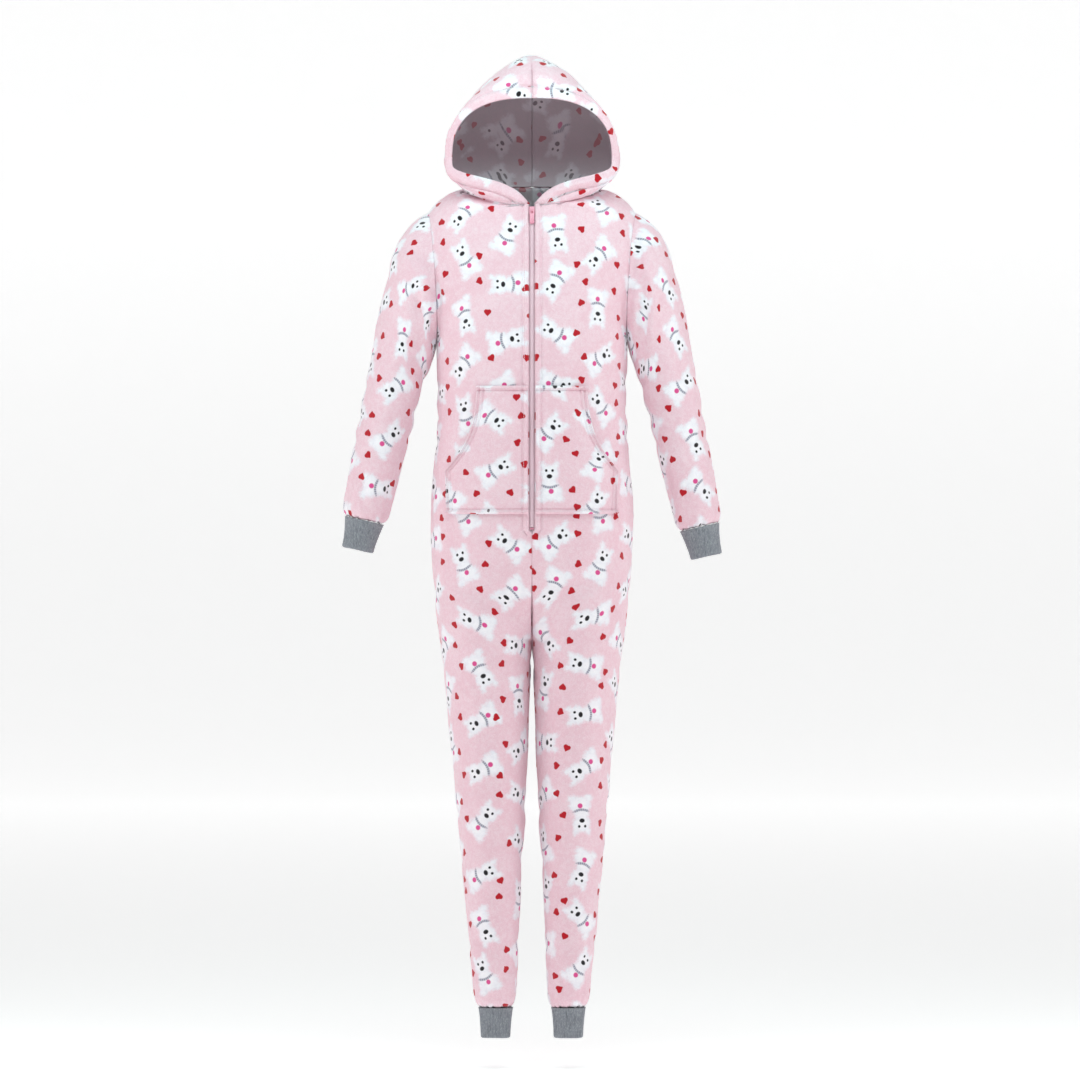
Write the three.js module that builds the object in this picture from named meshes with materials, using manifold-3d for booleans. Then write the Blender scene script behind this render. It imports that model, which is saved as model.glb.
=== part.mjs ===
import * as THREE from 'three';
import { mergeVertices } from 'three/addons/utils/BufferGeometryUtils.js';
import Module from 'manifold-3d';

const wasm = await Module();
wasm.setup();

// A hooded fleece onesie as it is worn, filled out and empty. Millimetres, +Z up, the front faces -Y and
// the wearer's left is +X. The origin is between the shoulders at the foot of the neck.

// Cloth and seams
const wall = 3;              // brushed fleece
const ribWall = 2.6;         // doubled rib of the cuffs
const seam = 0.3;            // between two pieces that are sewn together
const mitre = 0.4;           // how much shorter the inner face is at each edge
const hemExtra = 2.5;        // more cloth in the hood's turned hem
const roundness = 0.9;       // 1 is an ellipse, less is fuller at the corners

// Heights
const hpsZ = 2;              // where shoulder seam and neckline meet
const neckFrontZ = -27;
const neckBackZ = 8;
const armpitZ = -250;
const crotchZ = -742;
const crotchRise = 150;      // from the crotch up to where the body is one tube
const hemZ = -1348;
const zipEndZ = -561;
const pocketTopZ = -325;
const pocketTurnZ = -465;    // lower end of the hand opening
const pocketHemZ = -535;

// Widths and depths
const neckHalf = 105;
const zipGap = 6;            // from the centre line to each front's edge along the zip
const neckRow = 0.7;         // share of the rows above the armpit that end on the centre line

// How much flatter the bodice is than an ellipse, above the armpit and again near the shoulder
const flatter = { chest: 0.45, chestEnd: 0.35, shoulder: 0.47, shoulderStart: 0.55 };

// Rows and columns of the grids
const acrossSteps = 10;
const legSteps = 12;
const crotchSteps = 5;
const trunkSteps = 8;
const chestSteps = 7;
const neckSteps = 6;
const sleeveSteps = 14;
const roundSteps = 20;
const hoodSteps = 12;        // twice neckSteps, so that the hood meets every point of the neckline

// The body at a height: half its width, and how far its front and back stand from the side seams
const trunk = [
  { z: -742, side: 152, front: 98, back: 112 },
  { z: -670, side: 160, front: 107, back: 126 },
  { z: -600, side: 165, front: 112, back: 128 },
  { z: -535, side: 167, front: 113, back: 119 },
  { z: -470, side: 163, front: 111, back: 110 },
  { z: -400, side: 157, front: 111, back: 104 },
  { z: -320, side: 156, front: 117, back: 102 },
  { z: -250, side: 158, front: 120, back: 105 },
  { z: -180, side: 158, front: 115, back: 108 },
  { z: -100, side: 158, front: 99, back: 102 },
  { z: -27, side: 158, front: 78, back: 88 },
  { z: 8, side: 158, front: 70, back: 74 },
];

// A leg at a height: where its middle is, half its width, and its depth in front and behind
const leg = [
  { z: -1348, middle: 60, half: 27, front: 28, back: 32 },
  { z: -1338, middle: 60.5, half: 32.5, front: 35, back: 39 },
  { z: -1318, middle: 61, half: 35.5, front: 39, back: 44 },
  { z: -1284, middle: 62, half: 38.5, front: 42, back: 51 },
  { z: -1191, middle: 64.5, half: 44.5, front: 50, back: 66 },
  { z: -1099, middle: 66.5, half: 51, front: 60, back: 74 },
  { z: -1006, middle: 67.5, half: 57.5, front: 72, back: 78 },
  { z: -914, middle: 70, half: 64, front: 82, back: 88 },
  { z: -820, middle: 73, half: 70, front: 91, back: 99 },
  { z: -742, middle: 75.7, half: 75.5, front: 98, back: 112 },
];

// The armhole: its top, its underarm point, and how far it reaches forward and back
const armhole = { topX: 172, topZ: -38, underX: 158, front: 62, back: 70, hollow: 6 };

// A sleeve's rings: the outer and the inner end of each in the front view, and its depths
const sleeve = [
  { along: 0, outX: 172, outZ: -38, inX: 158, inZ: -250, front: 62, back: 70, hollow: 6 },
  { along: 1, outX: 198, outZ: -55, inX: 159.2, inZ: -261, front: 68, back: 72, hollow: 3 },
  { along: 2, outX: 219, outZ: -83, inX: 161.5, inZ: -271, front: 68, back: 70, hollow: 1 },
  { along: 3, outX: 232, outZ: -118, inX: 165, inZ: -282, front: 65, back: 66, hollow: 0 },
  { along: 4, outX: 244, outZ: -166, inX: 170, inZ: -296, front: 60, back: 61, hollow: 0 },
  { along: 5, outX: 256, outZ: -222, inX: 177, inZ: -315, front: 56, back: 57, hollow: 0 },
  { along: 6, outX: 267, outZ: -284, inX: 184, inZ: -340, front: 54, back: 54, hollow: 0 },
  { along: 7, outX: 279, outZ: -346, inX: 193, inZ: -373, front: 54, back: 52, hollow: 0 },
  { along: 8, outX: 289, outZ: -400, inX: 204, inZ: -420, front: 54, back: 48, hollow: 0 },
  { along: 9, outX: 299, outZ: -452, inX: 217, inZ: -471, front: 53, back: 42, hollow: 0 },
  { along: 10, outX: 307, outZ: -498, inX: 229, inZ: -516, front: 50, back: 35, hollow: 0 },
  { along: 11, outX: 311.5, outZ: -526, inX: 236, inZ: -543, front: 47, back: 30, hollow: 0 },
  { along: 12, outX: 307, outZ: -540, inX: 246, inZ: -554, front: 40, back: 22, hollow: 0 },
];

// How long each sleeve hangs, as a share of the table's
const reach = { left: 1.03, right: 0.993 };

// Cuffs: half width and depths at the seam and at the open edge, and their length
const wristCuff = { length: 49, half: 31.3, front: 40, back: 22, endHalf: 25, endFront: 33, endBack: 17 };
const ankleCuff = { length: 49, half: 27, front: 28, back: 32, endHalf: 22.7, endFront: 24, endBack: 28 };

// The hood's arches, from the face edge to the back of the neck. Each rises from the neckline past its
// widest place to its top on the centre seam. peak is 2 for a round arch, less for a pointed one and more
// for a flat one; sag is 1 for a round lower part and less for one that lies low on the shoulder
const hood = [
  { u: 0, topY: -92, topZ: 150, wide: 136, wideY: -62, wideZ: 50, peak: 2.5, sag: 0.5 },
  { u: 0.1, topY: -76, topZ: 188, wide: 143, wideY: -46, wideZ: 50, peak: 1.9, sag: 0.6 },
  { u: 0.22, topY: -34, topZ: 216, wide: 145, wideY: -20, wideZ: 50, peak: 1.55, sag: 0.85 },
  { u: 0.37, topY: 26, topZ: 220, wide: 144, wideY: 12, wideZ: 48, peak: 1.6, sag: 1 },
  { u: 0.54, topY: 84, topZ: 182, wide: 139, wideY: 38, wideZ: 44, peak: 1.8, sag: 1 },
  { u: 0.71, topY: 113, topZ: 118, wide: 131, wideY: 46, wideZ: 36, peak: 2, sag: 1 },
  { u: 0.86, topY: 103, topZ: 58, wide: 119, wideY: 30, wideZ: 20, peak: 2, sag: 1 },
  { u: 1, topY: 74, topZ: 8, wide: 105, wideY: 0, wideZ: 2, peak: 2, sag: 1 },
];
const hoodLipZ = 13;          // the face edge beside the zip's top
const hoodNotch = 30;        // how far from the zip that edge drops
const hoodLipFade = 8;       // how fast the lip fades towards the back
const hoodLean = 1.4;        // more columns near the zip
const hoodBloom = 5;         // how far the hood stands off the shoulders just outside its seam
const hoodHem = 0.09;        // share of the hood's arches that the turned hem takes
const hoodSplit = 0.32;      // share of an arch that lies below its widest place
const hoodFoot = 2 / 3;      // share of the front neckline that the arches start on
const hoodRimStart = 0.75;   // from here on the arches close in on the neckline
const hoodLift = 3;          // and off the back beside it
const hoodMiddleZ = 60;      // outward is away from this height on the centre line

// Large soft folds: a trough from one place in the front view to another. face is -1 in front, 1 behind
const foldFull = 35;         // folds fade out nearer the side seams than this
const folds = [
  { side: -1, face: -1, fromX: 178, fromZ: -105, toX: 155, toZ: -172, wide: 15, deep: 7 },
  { side: -1, face: -1, fromX: 152, fromZ: -180, toX: 157, toZ: -250, wide: 13, deep: 6 },
  { side: 1, face: -1, fromX: 172, fromZ: -90, toX: 164, toZ: -165, wide: 15, deep: 6 },
  { side: 1, face: -1, fromX: 160, fromZ: -175, toX: 156, toZ: -240, wide: 13, deep: 6 },
  { side: 1, face: -1, fromX: 184, fromZ: -155, toX: 177, toZ: -265, wide: 12, deep: 5 },
  { side: -1, face: -1, fromX: 190, fromZ: -165, toX: 186, toZ: -285, wide: 12, deep: 5 },
  { side: 1, face: 1, fromX: 166, fromZ: -100, toX: 152, toZ: -235, wide: 15, deep: 6 },
  { side: -1, face: 1, fromX: 162, fromZ: -90, toX: 154, toZ: -225, wide: 15, deep: 7 },
  { side: 1, face: 1, fromX: 20, fromZ: -640, toX: 118, toZ: -735, wide: 20, deep: 6 },
  { side: -1, face: 1, fromX: 18, fromZ: -650, toX: 112, toZ: -728, wide: 20, deep: 5 },
  { side: 1, face: -1, fromX: 22, fromZ: -690, toX: 96, toZ: -640, wide: 16, deep: 4 },
  { side: -1, face: -1, fromX: 24, fromZ: -700, toX: 104, toZ: -655, wide: 16, deep: 4 },
];

// The kangaroo pocket
const pocket = {
  topX: 90, sideX: 139, bend: 2.8, gap: 0.4, gape: 8, columns: 8, openShare: 0.72, sewnFrom: 25, sewnOver: 45,
};

// The zip
const zip = {
  coilHalf: 3.3, tapeHalf: 13, coilIn: 1.2, tapeIn: 3.75, tapeThick: 1.2, topZ: -30, coilEndZ: -557,
  tapeEndZ: -578, partedZ: -36.5, parted: 1.9,
};
const zipStop = { half: 3.2, tall: 3, thick: 1.4, over: 0.5 };
const slider = { z: -37.5, length: 14, half: 4.4, plate: 1.5, neck: 1.3, neckLength: 3.4 };
const bail = { half: 1.2, leg: 1.2, opening: 3, height: 1.8, bar: 1 };
const castOver = 0.5;        // how far the parts of one casting reach into each other
const pull = {
  length: 23, half: 3.9, thick: 1.2, hole: 2.1, holeEnd: 4.8, bar: 0.6, corner: 1.6, chamfer: 0.6,
};

const colours = {
  fleece: 0xf0cbd3, hood: 0xeec6cf, rib: 0x8f949a, tape: 0xeba9bb, slider: 0xe58fa8,
};

const group = new THREE.Group();
const { clamp, lerp, smoothstep } = THREE.MathUtils;
const point = (x, y, z) => new THREE.Vector3(x, y, z);

// The columns of a table at a value of its first column, on smooth curves through its rows
function at(table, value) {
  const key = Object.keys(table[0])[0];
  let row = 0;
  while (row < table.length - 2 && table[row + 1][key] < value) row += 1;
  const span = table[row + 1][key] - table[row][key];
  const share = clamp((value - table[row][key]) / span, 0, 1);
  const slope = (column, index) => {
    const before = table[Math.max(index - 1, 0)];
    const after = table[Math.min(index + 1, table.length - 1)];
    return (after[column] - before[column]) / (after[key] - before[key]);
  };
  const found = {};
  for (const column of Object.keys(table[0])) {
    const start = table[row][column];
    const end = table[row + 1][column];
    const out = slope(column, row) * span;
    const into = slope(column, row + 1) * span;
    const bend = out * (1 - share) - into * share + (end - start) * (2 * share - 1);
    found[column] = lerp(start, end, share) + share * (1 - share) * bend;
  }
  return found;
}

// Bodice, trunk and legs

const spaced = (from, to, steps) => Array.from({ length: steps }, (_, i) => from + ((to - from) * i) / steps);

// Rows of a body panel from hem to shoulder: heights up to the armpit, then 0 to 1 up to the shoulder seam
const lowRows = [
  hemZ, hemZ + 5, hemZ + 12,
  ...spaced(hemZ + 30, crotchZ, legSteps - 3),
  ...spaced(0, 1, crotchSteps).map((share) => crotchZ + crotchRise * (1 - Math.cos((share * Math.PI) / 2))),
  ...spaced(crotchZ + crotchRise, armpitZ, trunkSteps),
];
const closing = 8;           // over this height the fronts' edges part at the zip's lower end
const closingRows = [zipEndZ - closing, zipEndZ];
const nearClosing = (z) => closingRows.some((row) => Math.abs(row - z) < 2 * closing);
const panelRows = [...lowRows.filter((z) => !nearClosing(z)), ...closingRows].sort((a, b) => a - b);
const highRows = [...spaced(0, neckRow, chestSteps), ...spaced(neckRow, 1, neckSteps), 1];

function centreEdge(face, z) {
  return face < 0 ? lerp(seam / 2, zipGap, smoothstep(z, zipEndZ - closing, zipEndZ)) : seam / 2;
}

// A point of a body panel's outer face on the +X side. across runs from 0 at the centre to 1 at the side.
// Between the crotch and the trunk the outline passes from two legs' to one body's
function lowPoint(face, across, z) {
  if (z <= crotchZ) {
    const limb = at(leg, z);
    return point(
      limb.middle - limb.half * Math.cos(across * Math.PI),
      face * (face < 0 ? limb.front : limb.back) * Math.sin(across * Math.PI),
      z,
    );
  }
  const body = at(trunk, z);
  const depth = face < 0 ? body.front : body.back;
  const edge = centreEdge(face, z);
  const width = body.side - edge;
  const rise = clamp((z - crotchZ) / crotchRise, 0, 1);
  const seamJoined = Math.sqrt(1 - (1 - rise) ** 2);
  const sideJoined = smoothstep(rise, 0, 1);
  const onLeg = (1 - Math.cos(across * Math.PI)) / 2;
  const onBody = Math.sin((across * Math.PI) / 2) ** roundness;
  const share = lerp(onLeg, onBody, sideJoined);
  const legDepth = Math.sqrt(Math.max(1 - (2 * share - 1) ** 2, 0));
  const bodyDepth = Math.max(1 - share ** (2 / roundness), 0) ** (roundness / 2);
  const joined = lerp(seamJoined, sideJoined, Math.min(share * 2, 1));
  return point(edge + width * share, face * depth * lerp(legDepth, bodyDepth, joined), z);
}

// A place on a seam that two pieces share, on the straight stretches between its corner points
function onSeam(curve, turn, step) {
  const from = Math.floor(turn / step + 1e-6) * step;
  return curve(from).lerp(curve(from + step), clamp((turn - from) / step, 0, 1));
}

// A place on the armhole: 0 at the shoulder seam, through the front or back, to PI at the underarm
function armholePoint(face, turn) {
  const { topX, topZ, underX, front, back, hollow } = armhole;
  const sideways = Math.abs(Math.sin(turn));
  return point(
    (topX + underX) / 2 + ((topX - underX) / 2) * Math.cos(turn) - hollow * sideways,
    face * (face < 0 ? front : back) * sideways,
    (topZ + armpitZ) / 2 + ((topZ - armpitZ) / 2) * Math.cos(turn),
  );
}

// The neckline from the centre, 0, to the shoulder seam, PI / 2
function necklinePoint(face, turn) {
  const centreZ = face < 0 ? neckFrontZ : neckBackZ;
  const body = at(trunk, centreZ);
  const edge = centreEdge(face, centreZ);
  return point(
    edge + (neckHalf - edge) * Math.sin(turn),
    face * (face < 0 ? body.front : body.back) * Math.cos(turn),
    hpsZ + (centreZ - hpsZ) * Math.max(Math.cos(turn), 0) ** 1.6,
  );
}

// The same above the armpit, where rows run from the centre or neckline to the armhole
function highPoint(face, across, up) {
  const outer = onSeam((turn) => armholePoint(face, turn), Math.PI * (1 - up), (2 * Math.PI) / roundSteps);
  let inner;
  if (up < neckRow) {
    const z = lerp(armpitZ, face < 0 ? neckFrontZ : neckBackZ, up / neckRow);
    const body = at(trunk, z);
    inner = point(centreEdge(face, z), face * (face < 0 ? body.front : body.back), z);
  } else {
    inner = necklinePoint(face, ((up - neckRow) / (1 - neckRow)) * (Math.PI / 2));
  }
  const bow = 1 - flatter.chest * smoothstep(up, 0, flatter.chestEnd)
    - flatter.shoulder * smoothstep(up, flatter.shoulderStart, 1);
  const end = (bow * Math.PI) / 2;
  const sine = (Math.sin(end * across) / Math.sin(end)) ** roundness;
  const last = Math.max(Math.cos(end), 0) ** roundness;
  const cosine = (Math.max(Math.cos(end * across), 0) ** roundness - last) / (1 - last);
  return point(
    inner.x + (outer.x - inner.x) * sine,
    outer.y + (inner.y - outer.y) * cosine,
    outer.z + (inner.z - outer.z) * cosine,
  );
}

// A place with the folds that lie near it pressed in, towards the side seams' plane
function folded(place) {
  const face = Math.sign(place.y);
  let depth = 0;
  for (const fold of folds) {
    if (fold.side * place.x < 0 || fold.face !== face) continue;
    const along = point(fold.toX - fold.fromX, 0, fold.toZ - fold.fromZ);
    const from = point(Math.abs(place.x) - fold.fromX, 0, place.z - fold.fromZ);
    const share = clamp(from.dot(along) / along.lengthSq(), 0, 1);
    const away = from.addScaledVector(along, -share).length();
    depth += fold.deep * Math.exp(-((away / fold.wide) ** 2));
  }
  place.y -= face * depth * Math.min(Math.abs(place.y) / foldFull, 1);
  return place;
}

// Walls

const mirrored = (side) => (place) => point(place.x * side, place.y, place.z);

// Outward normals of a grid of points. around closes its rows, facing(place) points roughly outwards
function normalsOf(grid, around, facing) {
  const rows = grid.length;
  const columns = grid[0].length;
  const normals = grid.map((row) => row.map(() => point(0, 0, 0)));
  for (let i = 0; i < rows - 1; i += 1) {
    for (let j = 0; j < columns - (around ? 0 : 1); j += 1) {
      const k = (j + 1) % columns;
      const across = grid[i][k].clone().add(grid[i + 1][k]).sub(grid[i][j]).sub(grid[i + 1][j]);
      const up = grid[i + 1][j].clone().add(grid[i + 1][k]).sub(grid[i][j]).sub(grid[i][k]);
      const flat = across.cross(up);
      if (flat.dot(facing(grid[i][j])) < 0) flat.negate();
      for (const [a, b] of [[i, j], [i, k], [i + 1, j], [i + 1, k]]) normals[a][b].add(flat);
    }
  }
  return normals.map((row) => row.map((normal) => normal.normalize()));
}

// A closed wall of cloth from a grid of outer points. hold keeps a point on its own side of a seam
function clothWall(grid, { around = false, facing, thick = () => wall, hold = (p) => p }) {
  const normals = normalsOf(grid, around, facing);
  const rows = grid.length;
  const columns = grid[0].length;
  const outer = grid.map((row) => row.map((place) => hold(place.clone())));
  const inner = outer.map((row, i) => row.map((place, j) => {
    const inside = place.clone().addScaledVector(normals[i][j], -thick(i, j));
    const pull = (near) => inside.addScaledVector(near.clone().sub(place).normalize(), mitre);
    if (i === 0) pull(outer[1][j]);
    if (i === rows - 1) pull(outer[i - 1][j]);
    if (!around && j === 0) pull(outer[i][1]);
    if (!around && j === columns - 1) pull(outer[i][j - 1]);
    return hold(inside);
  }));
  return closedGeometry([...outer.flat(), ...inner.flat()], wallFaces(rows, columns, around));
}

// Faces of a wall whose outer points are numbered row by row and whose inner points follow in that order
function wallFaces(rows, columns, around) {
  const number = (i, j, layer) => layer * rows * columns + i * columns + (j % columns);
  const faces = [];
  const quad = (a, b, c, d) => faces.push(a, b, c, a, c, d);
  const last = around ? columns : columns - 1;
  const end = rows - 1;
  for (let i = 0; i < end; i += 1) {
    for (let j = 0; j < last; j += 1) {
      quad(number(i, j, 0), number(i, j + 1, 0), number(i + 1, j + 1, 0), number(i + 1, j, 0));
      quad(number(i, j, 1), number(i + 1, j, 1), number(i + 1, j + 1, 1), number(i, j + 1, 1));
    }
  }
  for (let j = 0; j < last; j += 1) {
    quad(number(0, j, 0), number(0, j, 1), number(0, j + 1, 1), number(0, j + 1, 0));
    quad(number(end, j, 1), number(end, j, 0), number(end, j + 1, 0), number(end, j + 1, 1));
  }
  for (let i = 0; i < end && !around; i += 1) {
    quad(number(i, 0, 1), number(i, 0, 0), number(i + 1, 0, 0), number(i + 1, 0, 1));
    quad(number(i, last, 0), number(i, last, 1), number(i + 1, last, 1), number(i + 1, last, 0));
  }
  return faces;
}

// A geometry with its faces turned outwards
function closedGeometry(places, faces) {
  let volume = 0;
  for (let i = 0; i < faces.length; i += 3) {
    const [a, b, c] = [0, 1, 2].map((k) => places[faces[i + k]]);
    volume += a.dot(b.clone().cross(c));
  }
  if (volume < 0) faces.reverse();
  const geometry = new THREE.BufferGeometry().setFromPoints(places);
  geometry.setIndex(faces);
  geometry.computeVertexNormals();
  return geometry;
}

function add(name, geometry, colour, roughness = 0.95, metalness = 0) {
  const material = new THREE.MeshStandardMaterial({ color: colour, roughness, metalness });
  const mesh = new THREE.Mesh(geometry, material);
  mesh.name = name;
  group.add(mesh);
  return mesh;
}

const seamSide = (side, face) => (place) => {
  if (side * place.x < seam / 2) place.x = (side * seam) / 2;
  if (face && face * place.y < seam / 2) place.y = (face * seam) / 2;
  return place;
};

// Fronts and backs

function addPanel(name, side, face) {
  const columns = Array.from({ length: acrossSteps + 1 }, (_, j) => j / acrossSteps);
  const grid = [
    ...panelRows.map((z) => columns.map((across) => lowPoint(face, across, z))),
    ...highRows.map((up) => columns.map((across) => highPoint(face, across, up))),
  ].map((row) => row.map((place) => folded(mirrored(side)(place))));
  const facing = (place) => point(
    place.x - side * at(leg, Math.min(place.z, crotchZ)).middle,
    face * neckHalf,
    Math.max(place.z - armpitZ, 0) / 2,
  );
  add(name, clothWall(grid, { facing, hold: seamSide(side, face) }), colours.fleece);
}

// Sleeves and cuffs

// A ring through an outer and an inner place in the front view, and its depths in front and behind
function ringPoint(ring, turn, side) {
  const swing = Math.cos(turn);
  const forward = Math.sin(turn);
  const middle = (ring.outX + ring.inX) / 2 - ring.hollow * Math.abs(forward);
  return point(
    side * (middle + ((ring.outX - ring.inX) / 2) * swing),
    -(forward > 0 ? ring.front : ring.back) * forward,
    (ring.outZ + ring.inZ) / 2 + ((ring.outZ - ring.inZ) / 2) * swing,
  );
}

const turns = Array.from({ length: roundSteps }, (_, j) => (j / roundSteps) * 2 * Math.PI);

function middleOf(row) {
  return row.reduce((sum, place) => sum.add(place), point(0, 0, 0)).divideScalar(row.length);
}

function tube(grid, options = {}) {
  const middles = grid.map(middleOf);
  const facing = (place) => {
    const nearest = middles.reduce((best, m) => (m.distanceTo(place) < best.distanceTo(place) ? m : best));
    return place.clone().sub(nearest);
  };
  return clothWall(grid, { around: true, facing, ...options });
}

function hung(place, share) {
  const below = Math.min(place.z - armpitZ, 0);
  return point(place.x, place.y, place.z - below + below * share);
}

function addSleeve(name, cuffName, side, share) {
  const stations = Array.from({ length: sleeveSteps + 1 }, (_, i) => (i / sleeveSteps) * (sleeve.length - 1));
  stations.splice(-1, 0, sleeve.length - 1.5);
  const grid = stations.map((along) => (
    turns.map((turn) => hung(folded(ringPoint(at(sleeve, along), turn, side)), share))));
  grid[0].forEach((place) => { place.x += side * seam; });
  add(name, tube(grid), colours.fleece);

  const last = sleeve[sleeve.length - 1];
  const across = point(last.outX - last.inX, 0, last.outZ - last.inZ).normalize();
  const down = point(across.z, 0, -across.x);
  const centre = hung(point(side * (last.outX + last.inX) / 2, 0, (last.outZ + last.inZ) / 2), share);
  const placed = (place) => point(
    centre.x + side * (place.x * across.x - place.z * down.x),
    place.y,
    centre.z + place.x * across.z - place.z * down.z,
  );
  add(cuffName, cuff(wristCuff, placed), colours.rib);
}

// A cuff that hangs down from its seam at z = 0, tapering to its open edge, where its rim is turned in
function cuff(size, placed) {
  const profile = [
    { down: seam, open: 0, inset: 0 },
    { down: size.length * 0.35, open: 0.5, inset: 0 },
    { down: size.length * 0.7, open: 0.85, inset: 0 },
    { down: size.length - 1.5, open: 1, inset: 0 },
    { down: size.length, open: 1, inset: 1 },
  ];
  const grid = profile.map(({ down, open, inset }) => turns.map((turn) => {
    const half = lerp(size.half, size.endHalf, open) - inset;
    const front = lerp(size.front, size.endFront, open) - inset;
    const back = lerp(size.back, size.endBack, open) - inset;
    const forward = Math.sin(turn);
    return placed(point(half * Math.cos(turn), -(forward > 0 ? front : back) * forward, -down));
  }));
  return tube(grid, { thick: (i) => (i === profile.length - 1 ? ribWall - 1 : ribWall) });
}

function addAnkleCuff(name, side) {
  const { middle } = leg[0];
  const onLeg = (place) => point(side * (middle + place.x), place.y, hemZ + place.z);
  add(name, cuff(ankleCuff, onLeg), colours.rib);
}

// Hood

// The hood's edge along the neckline from a share of the front, past the shoulder seam, to the centre back
function hoodRim(v) {
  const quarter = Math.PI / 2;
  const face = v < hoodSplit ? -1 : 1;
  const share = v < hoodSplit ? lerp(hoodFoot, 1, v / hoodSplit) : 1 - (v - hoodSplit) / (1 - hoodSplit);
  const rim = onSeam((turn) => necklinePoint(face, turn), share * quarter, quarter / neckSteps);
  rim.z += seam;
  return rim;
}

// A point of the hood's outer face on the +X side. u runs from the face edge to the back of the neck,
// v from the neckline to the centre seam
function hoodPoint(u, v) {
  const arch = at(hood, u);
  const quarter = Math.PI / 2;
  const place = point(0, 0, 0);
  if (v < hoodSplit) {
    const foot = onSeam((turn) => necklinePoint(-1, turn), u * hoodFoot * quarter, quarter / neckSteps);
    foot.z += seam;
    const turn = (v / hoodSplit) ** hoodLean * quarter;
    const high = Math.sin(turn) ** arch.sag;
    const low = Math.max(Math.cos(turn), 0) ** arch.sag;
    const width = arch.wide - foot.x;
    const lip = (hoodLipZ - foot.z) * (1 - u) ** hoodLipFade;
    place.x = foot.x + width * high;
    place.y = arch.wideY + (foot.y - arch.wideY) * low;
    place.z = arch.wideZ - (arch.wideZ - foot.z - lip) * low + hoodBloom * Math.sin(2 * turn) * (1 - u)
      - lip * (Math.exp((-width * high) / hoodNotch) - Math.exp(-width / hoodNotch));
  } else {
    const turn = ((v - hoodSplit) / (1 - hoodSplit)) * quarter;
    const power = 2 / arch.peak;
    place.x = seam / 2 + (arch.wide - seam / 2) * Math.max(Math.cos(turn), 0) ** power;
    place.y = arch.wideY + (arch.topY - arch.wideY) * Math.sin(turn) ** power;
    place.z = arch.wideZ + (arch.topZ - arch.wideZ) * Math.sin(turn) ** power;
  }
  const closing = clamp((u - hoodRimStart) / (1 - hoodRimStart), 0, 1);
  place.z += hoodLift * Math.sin(Math.PI * closing) * Math.cos(Math.PI * Math.min(v, 0.5));
  return place.lerp(hoodRim(v), closing ** 2);
}

function addHood(name, side) {
  const rows = [...spaced(0, 1, hoodSteps), 1];
  const columns = [
    ...spaced(0, hoodSplit, 4),
    ...spaced(hoodSplit, 1, hoodSteps),
    1,
  ];
  const grid = rows.map((u) => columns.map((v) => mirrored(side)(hoodPoint(u, v))));
  const facing = (place) => point(place.x, place.y, place.z - hoodMiddleZ);
  const thick = (i) => wall + (rows[i] <= hoodHem ? hemExtra : 0);
  add(name, clothWall(grid, { facing, thick, hold: seamSide(side, 0) }), colours.hood);
}

// Pocket

// A point on a front's outer face, folds and all, moved out by a distance
function onFront(x, z, out) {
  const body = at(trunk, z);
  const edge = centreEdge(-1, z);
  const across = (share) => {
    const ratio = clamp((Math.abs(share) - edge) / (body.side - edge), -0.2, 1);
    return (Math.sign(ratio) * Math.asin(Math.abs(ratio) ** (1 / roundness)) * 2) / Math.PI;
  };
  const outward = (share, height) => {
    const turn = Math.abs(share);
    const found = folded(lowPoint(-1, turn, height));
    return point(share < 0 ? 2 * edge - found.x : found.x, found.y, found.z);
  };
  const step = 0.5;
  const share = across(x);
  const here = outward(share, z);
  const sideways = outward(across(x + step), z).sub(here);
  const upwards = outward(share, z + step).sub(here);
  const normal = sideways.cross(upwards).normalize();
  return here.addScaledVector(normal, out);
}

function addPocket(name, side) {
  const heights = [
    ...spaced(pocketHemZ, pocketTurnZ, 3),
    ...spaced(pocketTurnZ, pocketTopZ, 6),
    pocketTopZ,
  ];
  const columns = Array.from({ length: pocket.columns + 1 }, (_, j) => j / pocket.columns);
  const start = zipGap + seam;
  const grid = heights.map((z) => {
    const open = clamp((pocketTopZ - z) / (pocketTopZ - pocketTurnZ), 0, 1);
    const outerX = lerp(pocket.topX, pocket.sideX, open ** pocket.bend);
    const sewn = smoothstep(pocketTurnZ + pocket.sewnFrom - z, 0, pocket.sewnOver);
    const tall = Math.sin(Math.PI * ((z - pocketHemZ) / (pocketTopZ - pocketHemZ)));
    return columns.map((share) => {
      const gape = pocket.gape * tall * Math.sin(Math.PI * share * lerp(pocket.openShare, 1, sewn));
      return mirrored(side)(onFront(lerp(start, outerX, share), z, pocket.gap + wall + gape));
    });
  });
  add(name, clothWall(grid, { facing: () => point(0, -1, 0) }), colours.fleece);
}

// Zip

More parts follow.
